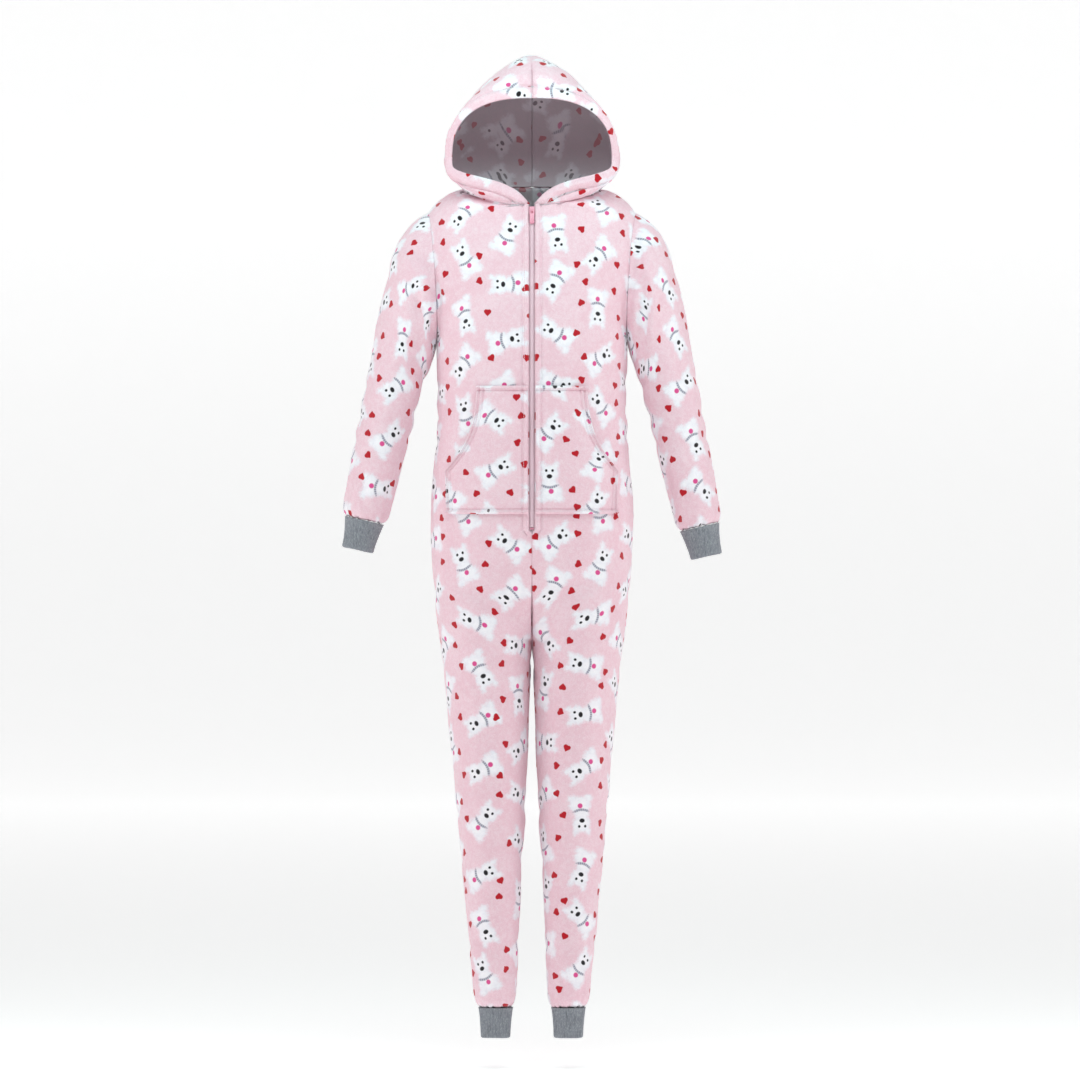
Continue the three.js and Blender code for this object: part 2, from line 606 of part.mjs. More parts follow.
function addZip(name, side) {
  const heights = [
    zip.tapeEndZ, zip.coilEndZ - 0.5, zip.coilEndZ,
    ...panelRows.filter((z) => z > zip.coilEndZ + 5),
    ...highRows.filter((up) => up < neckRow).map((up) => lerp(armpitZ, neckFrontZ, up / neckRow)),
    zip.partedZ - 3, zip.partedZ, zip.topZ,
  ].sort((a, b) => a - b);
  const front = heights.map((z) => {
    const from = lerp(seam / 2, zip.parted, smoothstep(z, zip.partedZ - 3, zip.partedZ));
    const out = z < zip.coilEndZ ? -zip.tapeIn : -zip.coilIn;
    return [[from, out], [zip.coilHalf - 0.2, out], [zip.coilHalf, -zip.tapeIn], [zip.tapeHalf, -zip.tapeIn]]
      .map(([x, depth]) => ({ x, z, depth }));
  });
  const back = -zip.tapeIn - zip.tapeThick;
  const outer = front.flat().map(({ x, z, depth }) => mirrored(side)(onFront(x, z, depth)));
  const inner = front.flat().map(({ x, z }) => mirrored(side)(onFront(x, z, back)));
  const faces = wallFaces(front.length, front[0].length, false);
  add(name, closedGeometry([...outer, ...inner], faces), colours.tape, 0.7);
}

// A closed geometry as a solid, so that boxes can be joined
function solidOf(geometry) {
  const bare = geometry.clone();
  bare.deleteAttribute('normal');
  bare.deleteAttribute('uv');
  const merged = mergeVertices(bare, 1e-4);
  return new wasm.Manifold(new wasm.Mesh({
    numProp: 3,
    vertProperties: new Float32Array(merged.attributes.position.array),
    triVerts: new Uint32Array(merged.index.array),
  }));
}

function geometryOf(solid) {
  const mesh = solid.getMesh();
  const geometry = new THREE.BufferGeometry();
  geometry.setAttribute('position', new THREE.BufferAttribute(new Float32Array(mesh.vertProperties), 3));
  geometry.setIndex(Array.from(mesh.triVerts));
  geometry.computeVertexNormals();
  return geometry;
}

function block(fromX, toX, fromY, toY, fromZ, toZ) {
  const box = new THREE.BoxGeometry(toX - fromX, toY - fromY, toZ - fromZ);
  return box.translate((fromX + toX) / 2, (fromY + toY) / 2, (fromZ + toZ) / 2);
}

// The slider's own frame: its origin on the fronts' outer face, -Y outwards, +Z up along the zip
function sliderFrame() {
  const here = onFront(zipGap, slider.z, 0);
  const above = onFront(zipGap, slider.z + 4, 0);
  const frame = new THREE.Group();
  frame.position.set(0, here.y, here.z);
  frame.rotation.x = -Math.atan2(above.y - here.y, above.z - here.z);
  group.add(frame);
  return frame;
}

function addSlider() {
  const frame = sliderFrame();
  const half = slider.length / 2;
  const plateBack = zip.coilIn - seam;
  const plateFront = plateBack - slider.plate;
  const underFront = zip.tapeIn + zip.tapeThick + seam;
  const barFront = plateFront - bail.height - bail.bar;
  const neckFoot = half - slider.neckLength;
  const legStart = bail.opening / 2;
  const legEnd = legStart + bail.leg;
  const parts = [
    block(-slider.half, slider.half, plateFront, plateBack, -half, half),
    block(-slider.half, slider.half, underFront, underFront + slider.plate, -half, half),
    block(-slider.neck, slider.neck, plateBack - castOver, underFront + castOver, neckFoot, half),
    block(-bail.half, bail.half, barFront, barFront + bail.bar, -legEnd, legEnd),
    block(-bail.half, bail.half, barFront, plateFront + castOver, legStart, legEnd),
    block(-bail.half, bail.half, barFront, plateFront + castOver, -legEnd, -legStart),
  ].map(solidOf);
  const body = parts.slice(1).reduce((whole, part) => whole.add(part), parts[0]);
  const mesh = add('zip_slider', geometryOf(body), colours.slider, 0.45, 0.2);
  frame.add(mesh);

  const tab = new THREE.Shape();
  const top = pull.bar;
  const bottom = pull.bar - pull.length;
  const { half: wide, corner } = pull;
  tab.moveTo(-wide + pull.chamfer, top);
  tab.lineTo(-wide, top - pull.chamfer);
  tab.lineTo(-wide, bottom + corner);
  tab.absarc(-wide + corner, bottom + corner, corner, Math.PI, Math.PI * 1.5);
  tab.absarc(wide - corner, bottom + corner, corner, Math.PI * 1.5, Math.PI * 2);
  tab.lineTo(wide, top - pull.chamfer);
  tab.lineTo(wide - pull.chamfer, top);
  const hole = new THREE.Path();
  hole.moveTo(-pull.hole, -pull.bar);
  hole.lineTo(pull.hole, -pull.bar);
  hole.lineTo(pull.hole, -pull.holeEnd);
  hole.lineTo(-pull.hole, -pull.holeEnd);
  tab.holes.push(hole);
  const plate = new THREE.ExtrudeGeometry(tab, { depth: pull.thick, bevelEnabled: false, curveSegments: 4 });
  plate.translate(0, 0, -pull.thick / 2).rotateX(Math.PI / 2);
  const axisZ = -bail.opening / 2 + seam + pull.bar;
  const pullMesh = add('zip_pull', plate, colours.slider, 0.45, 0.2);
  pullMesh.position.set(0, plateFront - seam - pull.thick / 2, axisZ);
  frame.add(pullMesh);
}

function addStop() {
  const { half, tall, thick, over } = zipStop;
  const here = onFront(zipGap, zip.coilEndZ - tall / 2 - castOver, 0);
  const stop = add('zip_stop', block(-half, half, 0, thick, -tall / 2, tall / 2), colours.slider, 0.45, 0.2);
  stop.position.set(0, here.y + zip.tapeIn - over - thick, here.z);
}

for (const [word, side] of [['left', 1], ['right', -1]]) {
  addPanel(`front_${word}`, side, -1);
  addPanel(`back_${word}`, side, 1);
  addSleeve(`sleeve_${word}`, `wrist_cuff_${word}`, side, reach[word]);
  addAnkleCuff(`ankle_cuff_${word}`, side);
  addHood(`hood_${word}`, side);
  addPocket(`pocket_${word}`, side);
  addZip(`zip_${word}`, side);
}
addStop();
addSlider();

export default group;
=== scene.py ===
"""Looks of a hooded fleece onesie that hangs filled out, with nobody in it: cloth, print, ribs, zip, studio.

Tables and functions are in millimetres and meshes in metres. +Z is up, the front faces -Y and the wearer's
left is +X.
"""
import math
from types import SimpleNamespace

import bmesh
import bpy
import numpy as np
from mathutils import Matrix, Vector


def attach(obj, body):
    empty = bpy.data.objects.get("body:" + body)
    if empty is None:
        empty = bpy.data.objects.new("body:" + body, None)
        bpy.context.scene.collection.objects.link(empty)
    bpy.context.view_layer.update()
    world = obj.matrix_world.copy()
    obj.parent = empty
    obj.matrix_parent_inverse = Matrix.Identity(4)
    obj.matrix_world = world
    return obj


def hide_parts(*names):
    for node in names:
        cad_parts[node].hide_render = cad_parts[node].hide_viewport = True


bl_info = {
    "name": "Fleece Onesie",
    "version": (1, 0, 0),
    "blender": (4, 5, 0),
    "location": "View3D > Sidebar > Onesie",
    "description": "Dresses the solids of a hooded fleece onesie in cloth, ribs, print and a zip",
    "category": "Object",
}

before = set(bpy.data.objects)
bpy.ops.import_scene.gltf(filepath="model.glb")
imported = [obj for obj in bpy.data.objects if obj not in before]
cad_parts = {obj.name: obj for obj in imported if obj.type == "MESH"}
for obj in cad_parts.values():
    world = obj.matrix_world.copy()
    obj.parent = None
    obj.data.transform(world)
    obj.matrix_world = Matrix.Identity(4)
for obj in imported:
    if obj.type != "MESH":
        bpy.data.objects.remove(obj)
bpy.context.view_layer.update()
MM = 0.001
PI = math.pi
SIDES = (("left", 1), ("right", -1))
CUT = "Cut"


class OnesieSizes(bpy.types.PropertyGroup):
    """Sizes of the cloth and of what is printed and sewn on it"""

    fleece: bpy.props.FloatProperty(
        name="Fleece", description="Thickness of the brushed fleece", default=0.0028, unit="LENGTH")
    hem: bpy.props.FloatProperty(
        name="Hood hem", description="Width of the hood's turned hem", default=0.018, unit="LENGTH")
    ribs: bpy.props.IntProperty(
        name="Ribs", description="Number of ribs round a cuff", default=64)
    rib_height: bpy.props.FloatProperty(
        name="Rib height", description="Height of a rib above its groove", default=0.0011, unit="LENGTH")
    tooth_pitch: bpy.props.FloatProperty(
        name="Tooth pitch", description="Distance between two turns of the coil", default=0.0014, unit="LENGTH")
    stitch: bpy.props.FloatProperty(
        name="Stitch", description="Length of a stitch with its gap", default=0.004, unit="LENGTH")
    puppy_across: bpy.props.FloatProperty(
        name="Puppies across", description="Distance between two columns of puppies", default=0.078,
        unit="LENGTH")
    puppy_down: bpy.props.FloatProperty(
        name="Puppies down", description="Distance between two puppies of a column", default=0.084,
        unit="LENGTH")
    nap: bpy.props.FloatProperty(
        name="Nap", description="Size of a tuft of the fleece's nap", default=0.0016, unit="LENGTH")


def colour(name, description, red, green, blue):
    """A colour property from values in 0 to 255 as a screen shows them."""
    linear = [(part / 255 / 12.92 if part < 11 else ((part / 255 + 0.055) / 1.055) ** 2.4)
              for part in (red, green, blue)]
    return bpy.props.FloatVectorProperty(
        name=name, description=description, default=linear, size=3, subtype="COLOR", min=0, max=1)


class OnesieColours(bpy.types.PropertyGroup):
    """Colours of the onesie"""

    fleece: colour("Fleece", "Ground of the print", 241, 199, 211)
    # Ground where the nap stands up: a random mottling, plus painted light on the raised tufts of the nap
    fleece_mottle_and_painted_light: colour("Fleece, light", "Ground where the nap stands up", 246, 215, 224)
    # The cloth's reverse face, with its own muted print, made darker and greyer as painted shade
    inside: colour("Inside", "Ground as it shows on the cloth's inside", 206, 192, 199)
    puppy: colour("Puppy", "Coat of the printed puppies", 254, 248, 253)
    puppy_shade: colour("Puppy, shade", "Thinner print in the coats and at their edges", 234, 230, 240)
    heart: colour("Heart", "Printed hearts", 188, 0, 26)
    collar: colour("Collar", "Printed collars", 138, 136, 148)
    tag: colour("Tag", "Tag on a printed collar", 226, 80, 146)
    nose: colour("Nose", "Printed noses and eyes", 20, 14, 20)
    rib: colour("Rib", "Ribs of the cuffs", 142, 144, 152)
    rib_light: colour("Rib, light", "Pale fibres of the cuffs' marl", 186, 191, 196)
    rib_dark: colour("Rib, dark", "Dark fibres of the cuffs' marl", 92, 96, 102)
    tape: colour("Tape", "Zip tape", 255, 226, 236)
    coil: colour("Coil", "Zip coil", 255, 222, 233)
    enamel: colour("Enamel", "Slider, pull tab and stop", 226, 142, 166)
    thread: colour("Thread", "Sewing thread", 246, 214, 223)


# The body, legs, armhole, sleeves and hood, by the names that the CAD part uses

HPS_Z, NECK_FRONT_Z, NECK_BACK_Z = 2, -27, 8
ARMPIT_Z, CROTCH_Z, CROTCH_RISE, HEM_Z, ZIP_END_Z = -250, -742, 150, -1348, -561
POCKET_TOP_Z, POCKET_TURN_Z, POCKET_HEM_Z = -325, -465, -535
NECK_HALF, ZIP_GAP, NECK_ROW, SEAM, ROUNDNESS, CLOSING = 105, 6, 0.7, 0.3, 0.9, 8
FOLD_FULL = 35


def table(columns, *rows):
    """A table with named columns."""
    return dict(zip(columns.split(), np.array(rows, float).T))


TRUNK = table(
    "z side front back",
    (-742, 152, 98, 112), (-670, 160, 107, 126), (-600, 165, 112, 128), (-535, 167, 113, 119),
    (-470, 163, 111, 110), (-400, 157, 111, 104), (-320, 156, 117, 102), (-250, 158, 120, 105),
    (-180, 158, 115, 108), (-100, 158, 99, 102), (-27, 158, 78, 88), (8, 158, 70, 74))
LEG = table(
    "z middle half front back",
    (-1348, 60, 27, 28, 32), (-1338, 60.5, 32.5, 35, 39), (-1318, 61, 35.5, 39, 44),
    (-1284, 62, 38.5, 42, 51), (-1191, 64.5, 44.5, 50, 66), (-1099, 66.5, 51, 60, 74),
    (-1006, 67.5, 57.5, 72, 78), (-914, 70, 64, 82, 88), (-820, 73, 70, 91, 99), (-742, 75.7, 75.5, 98, 112))
ARMHOLE = SimpleNamespace(top_x=172, top_z=-38, under_x=158, front=62, back=70, hollow=6)
SLEEVE = table(
    "along out_x out_z in_x in_z front back hollow",
    (0, 172, -38, 158, -250, 62, 70, 6), (1, 198, -55, 159.2, -261, 68, 72, 3),
    (2, 219, -83, 161.5, -271, 68, 70, 1), (3, 232, -118, 165, -282, 65, 66, 0),
    (4, 244, -166, 170, -296, 60, 61, 0), (5, 256, -222, 177, -315, 56, 57, 0),
    (6, 267, -284, 184, -340, 54, 54, 0), (7, 279, -346, 193, -373, 54, 52, 0),
    (8, 289, -400, 204, -420, 54, 48, 0), (9, 299, -452, 217, -471, 53, 42, 0),
    (10, 307, -498, 229, -516, 50, 35, 0), (11, 311.5, -526, 236, -543, 47, 30, 0),
    (12, 307, -540, 246, -554, 40, 22, 0))
REACH = {"left": 1.03, "right": 0.993}
WRIST_CUFF = SimpleNamespace(length=49, start=(31.3, 40, 22), end=(25, 33, 17))
ANKLE_CUFF = SimpleNamespace(length=49, start=(27, 28, 32), end=(22.7, 24, 28))
HOOD = table(
    "u top_y top_z wide wide_y wide_z peak sag",
    (0, -92, 150, 136, -62, 50, 2.5, 0.5), (0.1, -76, 188, 143, -46, 50, 1.9, 0.6),
    (0.22, -34, 216, 145, -20, 50, 1.55, 0.85), (0.37, 26, 220, 144, 12, 48, 1.6, 1),
    (0.54, 84, 182, 139, 38, 44, 1.8, 1), (0.71, 113, 118, 131, 46, 36, 2, 1),
    (0.86, 103, 58, 119, 30, 20, 2, 1), (1, 74, 8, 105, 0, 2, 2, 1))
HOOD_SPLIT, HOOD_FOOT, HOOD_RIM, HOOD_LIP_Z = 0.32, 2 / 3, 0.75, 13
POCKET = SimpleNamespace(top_x=90, side_x=139, bend=2.8, out=3.4, gape=8)
ZIP = SimpleNamespace(
    coil_in=1.2, tape_in=3.75, tape_half=13, coil_half=3.3, top_z=-30, coil_end_z=-557, tape_end_z=-578,
    parted_z=-36.5, parted=1.9)
SLIDER_Z = -37.5

# Large folds that the solids have too: troughs from one place in the front or back view to another
FOLDS = table(
    "side face from_x from_z to_x to_z wide deep",
    (-1, -1, 178, -105, 155, -172, 15, 7), (-1, -1, 152, -180, 157, -250, 13, 6),
    (1, -1, 172, -90, 164, -165, 15, 6), (1, -1, 160, -175, 156, -240, 13, 6),
    (1, -1, 184, -155, 177, -265, 12, 5), (-1, -1, 190, -165, 186, -285, 12, 5),
    (1, 1, 166, -100, 152, -235, 15, 6), (-1, 1, 162, -90, 154, -225, 15, 7),
    (1, 1, 20, -640, 118, -735, 20, 6), (-1, 1, 18, -650, 112, -728, 20, 5),
    (1, -1, 22, -690, 96, -640, 16, 4), (-1, -1, 24, -700, 104, -655, 16, 4))

# Soft creases, listed in the view they are seen in: front and back (x, z), left and right (y, z),
# top (x, y). bow is how far the middle stands off the straight line, deep is less than 0 for a ridge
CREASES = {
    "front": table(
        "a b to_a to_b bow wide deep",
        (-206, -92, -152, -178, 7, 8, 4.2), (-152, -176, -160, -262, -5, 6, 3.4), (-196, -150, -165, -246, -6, 7, 2.6),
        (-187, -112, -140, -200, 9, 9, -2.0), (-236, -236, -190, -262, -5, 8, 1.6), (-243, -330, -214, -356, 4, 9, 1.4),
        (172, -76, 166, -166, 6, 8, 4.0), (168, -160, 153, -222, -5, 6, 3.2), (184, -152, 176, -262, 5, 7, 3.0),
        (196, -150, 190, -246, 5, 8, -1.6), (238, -226, 196, -262, 6, 8, 1.5), (262, -348, 222, -372, -4, 9, 1.4),
        (148, -96, 122, -150, 8, 12, 1.6), (-140, -104, -116, -158, -8, 12, 1.5), (-130, -250, -92, -292, 6, 13, 1.2),
        (134, -262, 100, -300, -6, 12, 1.2), (28, -88, 60, -112, 4, 10, 0.9), (-30, -130, -66, -152, -4, 11, 0.9),
        (-150, -580, -80, -622, 7, 13, 1.6), (152, -590, 84, -640, -8, 12, 1.6), (-26, -600, -36, -690, 5, 10, 1.4),
        (22, -592, 30, -676, -5, 10, 1.5), (12, -735, 70, -690, 8, 10, 1.2), (-12, -738, -66, -694, -8, 10, 1.2),
        (10, -760, 60, -792, -6, 9, 1.6), (-10, -758, -64, -800, 6, 10, 1.6), (96, -820, 130, -880, 5, 12, 1.0),
        (-120, -840, -84, -886, -5, 12, 1.0), (34, -1004, 84, -1030, 5, 11, 1.2), (-100, -1016, -46, -1040, -5, 12, 1.2),
        (96, -1080, 58, -1102, 4, 10, 1.0), (-40, -1092, -86, -1120, 4, 10, 1.1), (36, -1214, 70, -1250, 4, 8, 1.3),
        (-92, -1226, -52, -1262, -4, 8, 1.4), (92, -1262, 66, -1306, -3, 6, 1.6), (-34, -1270, -58, -1312, 3, 6, 1.6),
        (48, -1290, 50, -1336, 2, 4.5, 1.6), (-74, -1296, -70, -1338, -2, 4.5, 1.6), (258, -470, 244, -530, 3, 5, 1.5),
        (290, -462, 286, -520, -3, 5, 1.4), (-284, -466, -276, -524, 3, 5, 1.5), (-252, -480, -250, -534, -2, 4.5, 1.4),
        (92, 6, 40, -20, -5, 6, 2.2), (-126, 4, -22, -27, -9, 6, 2.4), (60, -40, 108, -58, 5, 9, 1.2)),
    "back": table(
        "a b to_a to_b bow wide deep",
        (164, -98, 150, -232, 8, 6, 2.4), (-160, -88, -152, -222, -7, 6, 2.6), (190, -140, 182, -250, 5, 6, 1.8),
        (-194, -150, -180, -262, -6, 6, 2.0), (120, -130, 60, -176, 9, 15, 1.6), (-112, -150, -50, -190, -8, 14, 1.5),
        (-140, -366, -40, -384, 9, 12, 1.8), (138, -392, 30, -412, -10, 13, 1.9), (-128, -446, -44, -430, 6, 11, 1.3),
        (120, -470, 52, -452, -6, 12, 1.3), (150, -606, 96, -664, 9, 14, 1.6), (-152, -596, -100, -650, -9, 14, 1.6),
        (16, -690, 112, -762, 12, 9, 3.0), (-14, -696, -116, -756, -11, 9, 2.8), (20, -770, 90, -806, 7, 9, 2.0),
        (-22, -776, -84, -816, -7, 10, 1.9), (110, -860, 52, -900, 8, 13, 1.4), (-116, -876, -60, -912, -7, 13, 1.3),
        (30, -1020, 108, -1040, 8, 9, 2.2), (-106, -1026, -34, -1050, -9, 9, 2.1), (36, -1066, 98, -1082, -6, 9, 1.6),
        (-98, -1080, -42, -1094, 5, 9, 1.6), (100, -1180, 52, -1214, 5, 10, 1.2), (-36, -1170, -88, -1204, 5, 10, 1.3),
        (38, -1240, 80, -1290, 4, 7, 1.7), (-92, -1250, -56, -1300, -4, 7, 1.7), (60, -1292, 66, -1338, -2, 5, 1.7),
        (-44, -1296, -50, -1338, 2, 5, 1.6), (244, -372, 204, -356, 5, 9, 2.0), (-246, -350, -200, -366, -5, 9, 2.0),
        (262, -420, 218, -410, -4, 8, 1.6), (-258, -404, -216, -416, 4, 8, 1.6), (272, -476, 262, -532, 3, 5, 1.5),
        (-270, -470, -262, -530, -3, 5, 1.5), (70, 40, 20, 16, 6, 9, 1.5), (-78, 52, -26, 20, -6, 9, 1.5)),
    "left": table(
        "a b to_a to_b bow wide deep",
        (-50, -300, 34, -340, 7, 10, 1.5), (44, -380, -30, -366, -5, 9, 1.6), (40, -424, -34, -404, -5, 9, 1.4),
        (-44, -470, -30, -534, 4, 6, 1.5), (4, -474, 8, -540, -3, 5, 1.5), (30, -110, -34, -142, 7, 13, 1.2),
        (-70, -640, 30, -690, 9, 14, 1.5), (60, -760, -20, -800, -8, 13, 1.3), (-40, -1010, 44, -1040, 7, 11, 1.5),
        (50, -1090, -20, -1110, -5, 11, 1.2), (-20, -1230, 34, -1270, 5, 8, 1.5), (10, -1290, 14, -1338, 2, 5, 1.5),
        (84, 30, 20, 6, 9, 9, 2.0), (-60, 96, -12, 128, 6, 11, 1.3), (40, 150, 84, 96, 8, 14, 1.2)),
    "right": table(
        "a b to_a to_b bow wide deep",
        (-44, -316, 40, -350, 7, 10, 1.5), (46, -372, -26, -384, -5, 9, 1.6), (36, -430, -38, -414, -5, 9, 1.4),
        (-38, -466, -24, -530, 4, 6, 1.5), (12, -470, 14, -536, -3, 5, 1.5), (36, -120, -30, -148, 7, 13, 1.2),
        (-64, -650, 40, -694, 9, 14, 1.5), (56, -770, -24, -806, -8, 13, 1.3), (-44, -1016, 40, -1050, 7, 11, 1.5),
        (46, -1096, -24, -1120, -5, 11, 1.2), (-24, -1236, 30, -1280, 5, 8, 1.5), (4, -1292, 8, -1338, 2, 5, 1.5),
        (80, 24, 14, 4, 9, 9, 2.0), (-56, 104, -6, 134, 6, 11, 1.3), (50, 144, 92, 84, 8, 14, 1.2)),
    "top": table(
        "a b to_a to_b bow wide deep",
        (-2, -90, 4, -56, 2, 3.5, 2.2), (43, -96, 55, -60, 3, 4.5, 1.8), (-48, -92, -40, -66, -3, 6, 1.0),
        (-30, 20, -64, 60, 6, 13, 1.2), (36, 6, 70, 50, -7, 13, 1.3)),
}
VIEWS = {"front": (0, 2, 1, -1), "back": (0, 2, 1, 1), "left": (1, 2, 0, 1), "right": (1, 2, 0, -1),
         "top": (0, 1, 2, 1)}


def at(rows, value):
    """Columns of a table at values of its first column, on smooth curves through its rows."""
    names = list(rows)
    keys = rows[names[0]]
    value = np.asarray(value, float)
    row = np.clip(np.searchsorted(keys, value) - 1, 0, len(keys) - 2)
    span = keys[row + 1] - keys[row]
    share = np.clip((value - keys[row]) / span, 0, 1)
    before = np.maximum(np.arange(len(keys)) - 1, 0)
    after = np.minimum(np.arange(len(keys)) + 1, len(keys) - 1)
    found = {}
    for name in names:
        column = rows[name]
        slope = (column[after] - column[before]) / (keys[after] - keys[before])
        start, end = column[row], column[row + 1]
        bend = slope[row] * span * (1 - share) - slope[row + 1] * span * share + (end - start) * (2 * share - 1)
        found[name] = start + (end - start) * share + share * (1 - share) * bend
    return SimpleNamespace(**found)


def lerp(start, end, share):
    return start + (end - start) * share


def smoothstep(value, start, end):
    share = np.clip((value - start) / (end - start), 0, 1)
    return share * share * (3 - 2 * share)


def place(x, y, z):
    """Places from coordinates that may be numbers or arrays."""
    return np.stack(np.broadcast_arrays(*(np.asarray(part, float) for part in (x, y, z))), -1)


# Fronts and backs

def centre_edge(face, z):
    closed = np.full_like(np.asarray(z, float), SEAM / 2)
    return lerp(closed, ZIP_GAP, smoothstep(z, ZIP_END_Z - CLOSING, ZIP_END_Z)) if face < 0 else closed


def low_point(face, across, z):
    """A point of a body panel up to the armpit. across is 0 at the centre or inside leg and 1 at the side."""
    limb = at(LEG, np.minimum(z, CROTCH_Z))
    on_leg = place(
        limb.middle - limb.half * np.cos(across * PI),
        face * (limb.front if face < 0 else limb.back) * np.sin(across * PI), z)
    body = at(TRUNK, np.maximum(z, CROTCH_Z))
    edge = centre_edge(face, z)
    rise = np.clip((z - CROTCH_Z) / CROTCH_RISE, 0, 1)
    seam_joined = np.sqrt(1 - (1 - rise) ** 2)
    side_joined = smoothstep(rise, 0, 1)
    share = lerp((1 - np.cos(across * PI)) / 2, np.sin(across * PI / 2) ** ROUNDNESS, side_joined)
    leg_depth = np.sqrt(np.maximum(1 - (2 * share - 1) ** 2, 0))
    body_depth = np.maximum(1 - share ** (2 / ROUNDNESS), 0) ** (ROUNDNESS / 2)
    joined = lerp(seam_joined, side_joined, np.minimum(share * 2, 1))
    depth = face * (body.front if face < 0 else body.back) * lerp(leg_depth, body_depth, joined)
    on_body = place(edge + (body.side - edge) * share, depth, z)
    return np.where((z <= CROTCH_Z)[..., None], on_leg, on_body)


def armhole_point(face, turn):
    sideways = np.abs(np.sin(turn))
    reach = ARMHOLE.front if face < 0 else ARMHOLE.back
    return place(
        lerp(ARMHOLE.under_x, ARMHOLE.top_x, (1 + np.cos(turn)) / 2) - ARMHOLE.hollow * sideways,
        face * reach * sideways,
        lerp(ARMPIT_Z, ARMHOLE.top_z, (1 + np.cos(turn)) / 2))


def neckline_point(face, turn):
    centre_z = NECK_FRONT_Z if face < 0 else NECK_BACK_Z
    body = at(TRUNK, centre_z)
    edge = centre_edge(face, centre_z)
    return place(
        edge + (NECK_HALF - edge) * np.sin(turn),
        face * (body.front if face < 0 else body.back) * np.cos(turn),
        HPS_Z + (centre_z - HPS_Z) * np.maximum(np.cos(turn), 0) ** 1.6)


def high_point(face, across, up):
    """A point of a body panel above the armpit, in rows from the centre or neckline to the armhole."""
    outer = armhole_point(face, PI * (1 - up))
    centre_z = lerp(ARMPIT_Z, NECK_FRONT_Z if face < 0 else NECK_BACK_Z, np.minimum(up / NECK_ROW, 1))
    body = at(TRUNK, centre_z)
    on_centre = place(centre_edge(face, centre_z), face * (body.front if face < 0 else body.back), centre_z)
    on_neck = neckline_point(face, np.clip((up - NECK_ROW) / (1 - NECK_ROW), 0, 1) * PI / 2)
    inner = np.where((up < NECK_ROW)[..., None], on_centre, on_neck)
    end = (1 - 0.45 * smoothstep(up, 0, 0.35) - 0.47 * smoothstep(up, 0.55, 1)) * PI / 2
    sine = (np.sin(end * across) / np.sin(end)) ** ROUNDNESS
    last = np.maximum(np.cos(end), 0) ** ROUNDNESS
    cosine = (np.maximum(np.cos(end * across), 0) ** ROUNDNESS - last) / (1 - last)
    return np.stack([
        inner[..., 0] + (outer[..., 0] - inner[..., 0]) * sine,
        outer[..., 1] + (inner[..., 1] - outer[..., 1]) * cosine,
        outer[..., 2] + (inner[..., 2] - outer[..., 2]) * cosine], -1)


def mirrored(places, side):
    return places * np.array([side, 1, 1])


def folded(places):
    """Places with the large folds near them pressed in."""
    places = places.copy()
    x, y, z = np.moveaxis(places, -1, 0)
    face = np.sign(y)
    depth = np.zeros_like(x)
    for side, fold_face, from_x, from_z, to_x, to_z, wide, deep in zip(*FOLDS.values()):
        along_x, along_z = to_x - from_x, to_z - from_z
        off_x, off_z = np.abs(x) - from_x, z - from_z
        share = np.clip((off_x * along_x + off_z * along_z) / (along_x ** 2 + along_z ** 2), 0, 1)
        away = np.hypot(off_x - share * along_x, off_z - share * along_z)
        depth += deep * np.exp(-((away / wide) ** 2)) * (side * x >= 0) * (face == fold_face)
    places[..., 1] -= face * depth * np.minimum(np.abs(y) / FOLD_FULL, 1)
    return places


def panel_places(side, face):
    """A body panel's grid, from hem to shoulder and from the centre to the side seam."""
    across = np.concatenate([np.linspace(0, 0.06, 13)[:-1], np.linspace(0.06, 0.96, 58)[:-1], np.linspace(0.96, 1, 5)])[None]
    rise = CROTCH_Z + CROTCH_RISE * np.linspace(0, 1, 49)[1:-1] ** 1.7
    low = np.concatenate([
        np.linspace(HEM_Z, CROTCH_Z, 163), rise, np.linspace(CROTCH_Z + CROTCH_RISE, ARMPIT_Z, 90)[:-1]])
    high = np.concatenate([np.linspace(0, NECK_ROW, 56)[:-1], np.linspace(NECK_ROW, 1, 34)])
    grid = np.concatenate([
        low_point(face, across + 0 * low[:, None], low[:, None] + 0 * across),
        high_point(face, across + 0 * high[:, None], high[:, None] + 0 * across)])
    legs, armpit = len(low) - 104, len(low)
    return folded(mirrored(grid, side)), legs, armpit


# Sleeves

def ring_point(along, turn, side):
    ring = at(SLEEVE, along)
    forward = np.sin(turn)
    middle = (ring.out_x + ring.in_x) / 2 - ring.hollow * np.abs(forward)
    return place(
        side * (middle + (ring.out_x - ring.in_x) / 2 * np.cos(turn)),
        -np.where(forward > 0, ring.front, ring.back) * forward,
        (ring.out_z + ring.in_z) / 2 + (ring.out_z - ring.in_z) / 2 * np.cos(turn))


def hung(places, share):
    places = places.copy()
    places[..., 2] += np.minimum(places[..., 2] - ARMPIT_Z, 0) * (share - 1)
    return places


def cuff_places(size, placed, columns):
    """A cuff of doubled rib, down its outside, round its open edge and up again inside."""
    down = np.concatenate([np.linspace(SEAM, size.length - 1.6, 16), np.full(5, size.length - 1.3)])
    inset = np.zeros(len(down))
    bend = np.linspace(0, PI, 7)[1:-1]
    down[-5:] += 1.3 * np.sin(bend)
    inset[-5:] = 1.3 * (1 - np.cos(bend))
    down = np.concatenate([down, np.linspace(size.length - 1.6, SEAM + 2, 9)])
    inset = np.concatenate([inset, np.full(9, 2.6)])
    opened = np.interp(down / size.length, (0, 0.35, 0.7, 0.97), (0, 0.5, 0.85, 1))
    half, front, back = (lerp(start, end, opened)[:, None] - inset[:, None]
                         for start, end in zip(size.start, size.end))
    turn = np.linspace(-PI, PI, columns + 1)[None]
    forward = np.sin(turn)
    return placed(half * np.cos(turn), -np.where(forward > 0, front, back) * forward, -down[:, None] + 0 * turn)


# Hood

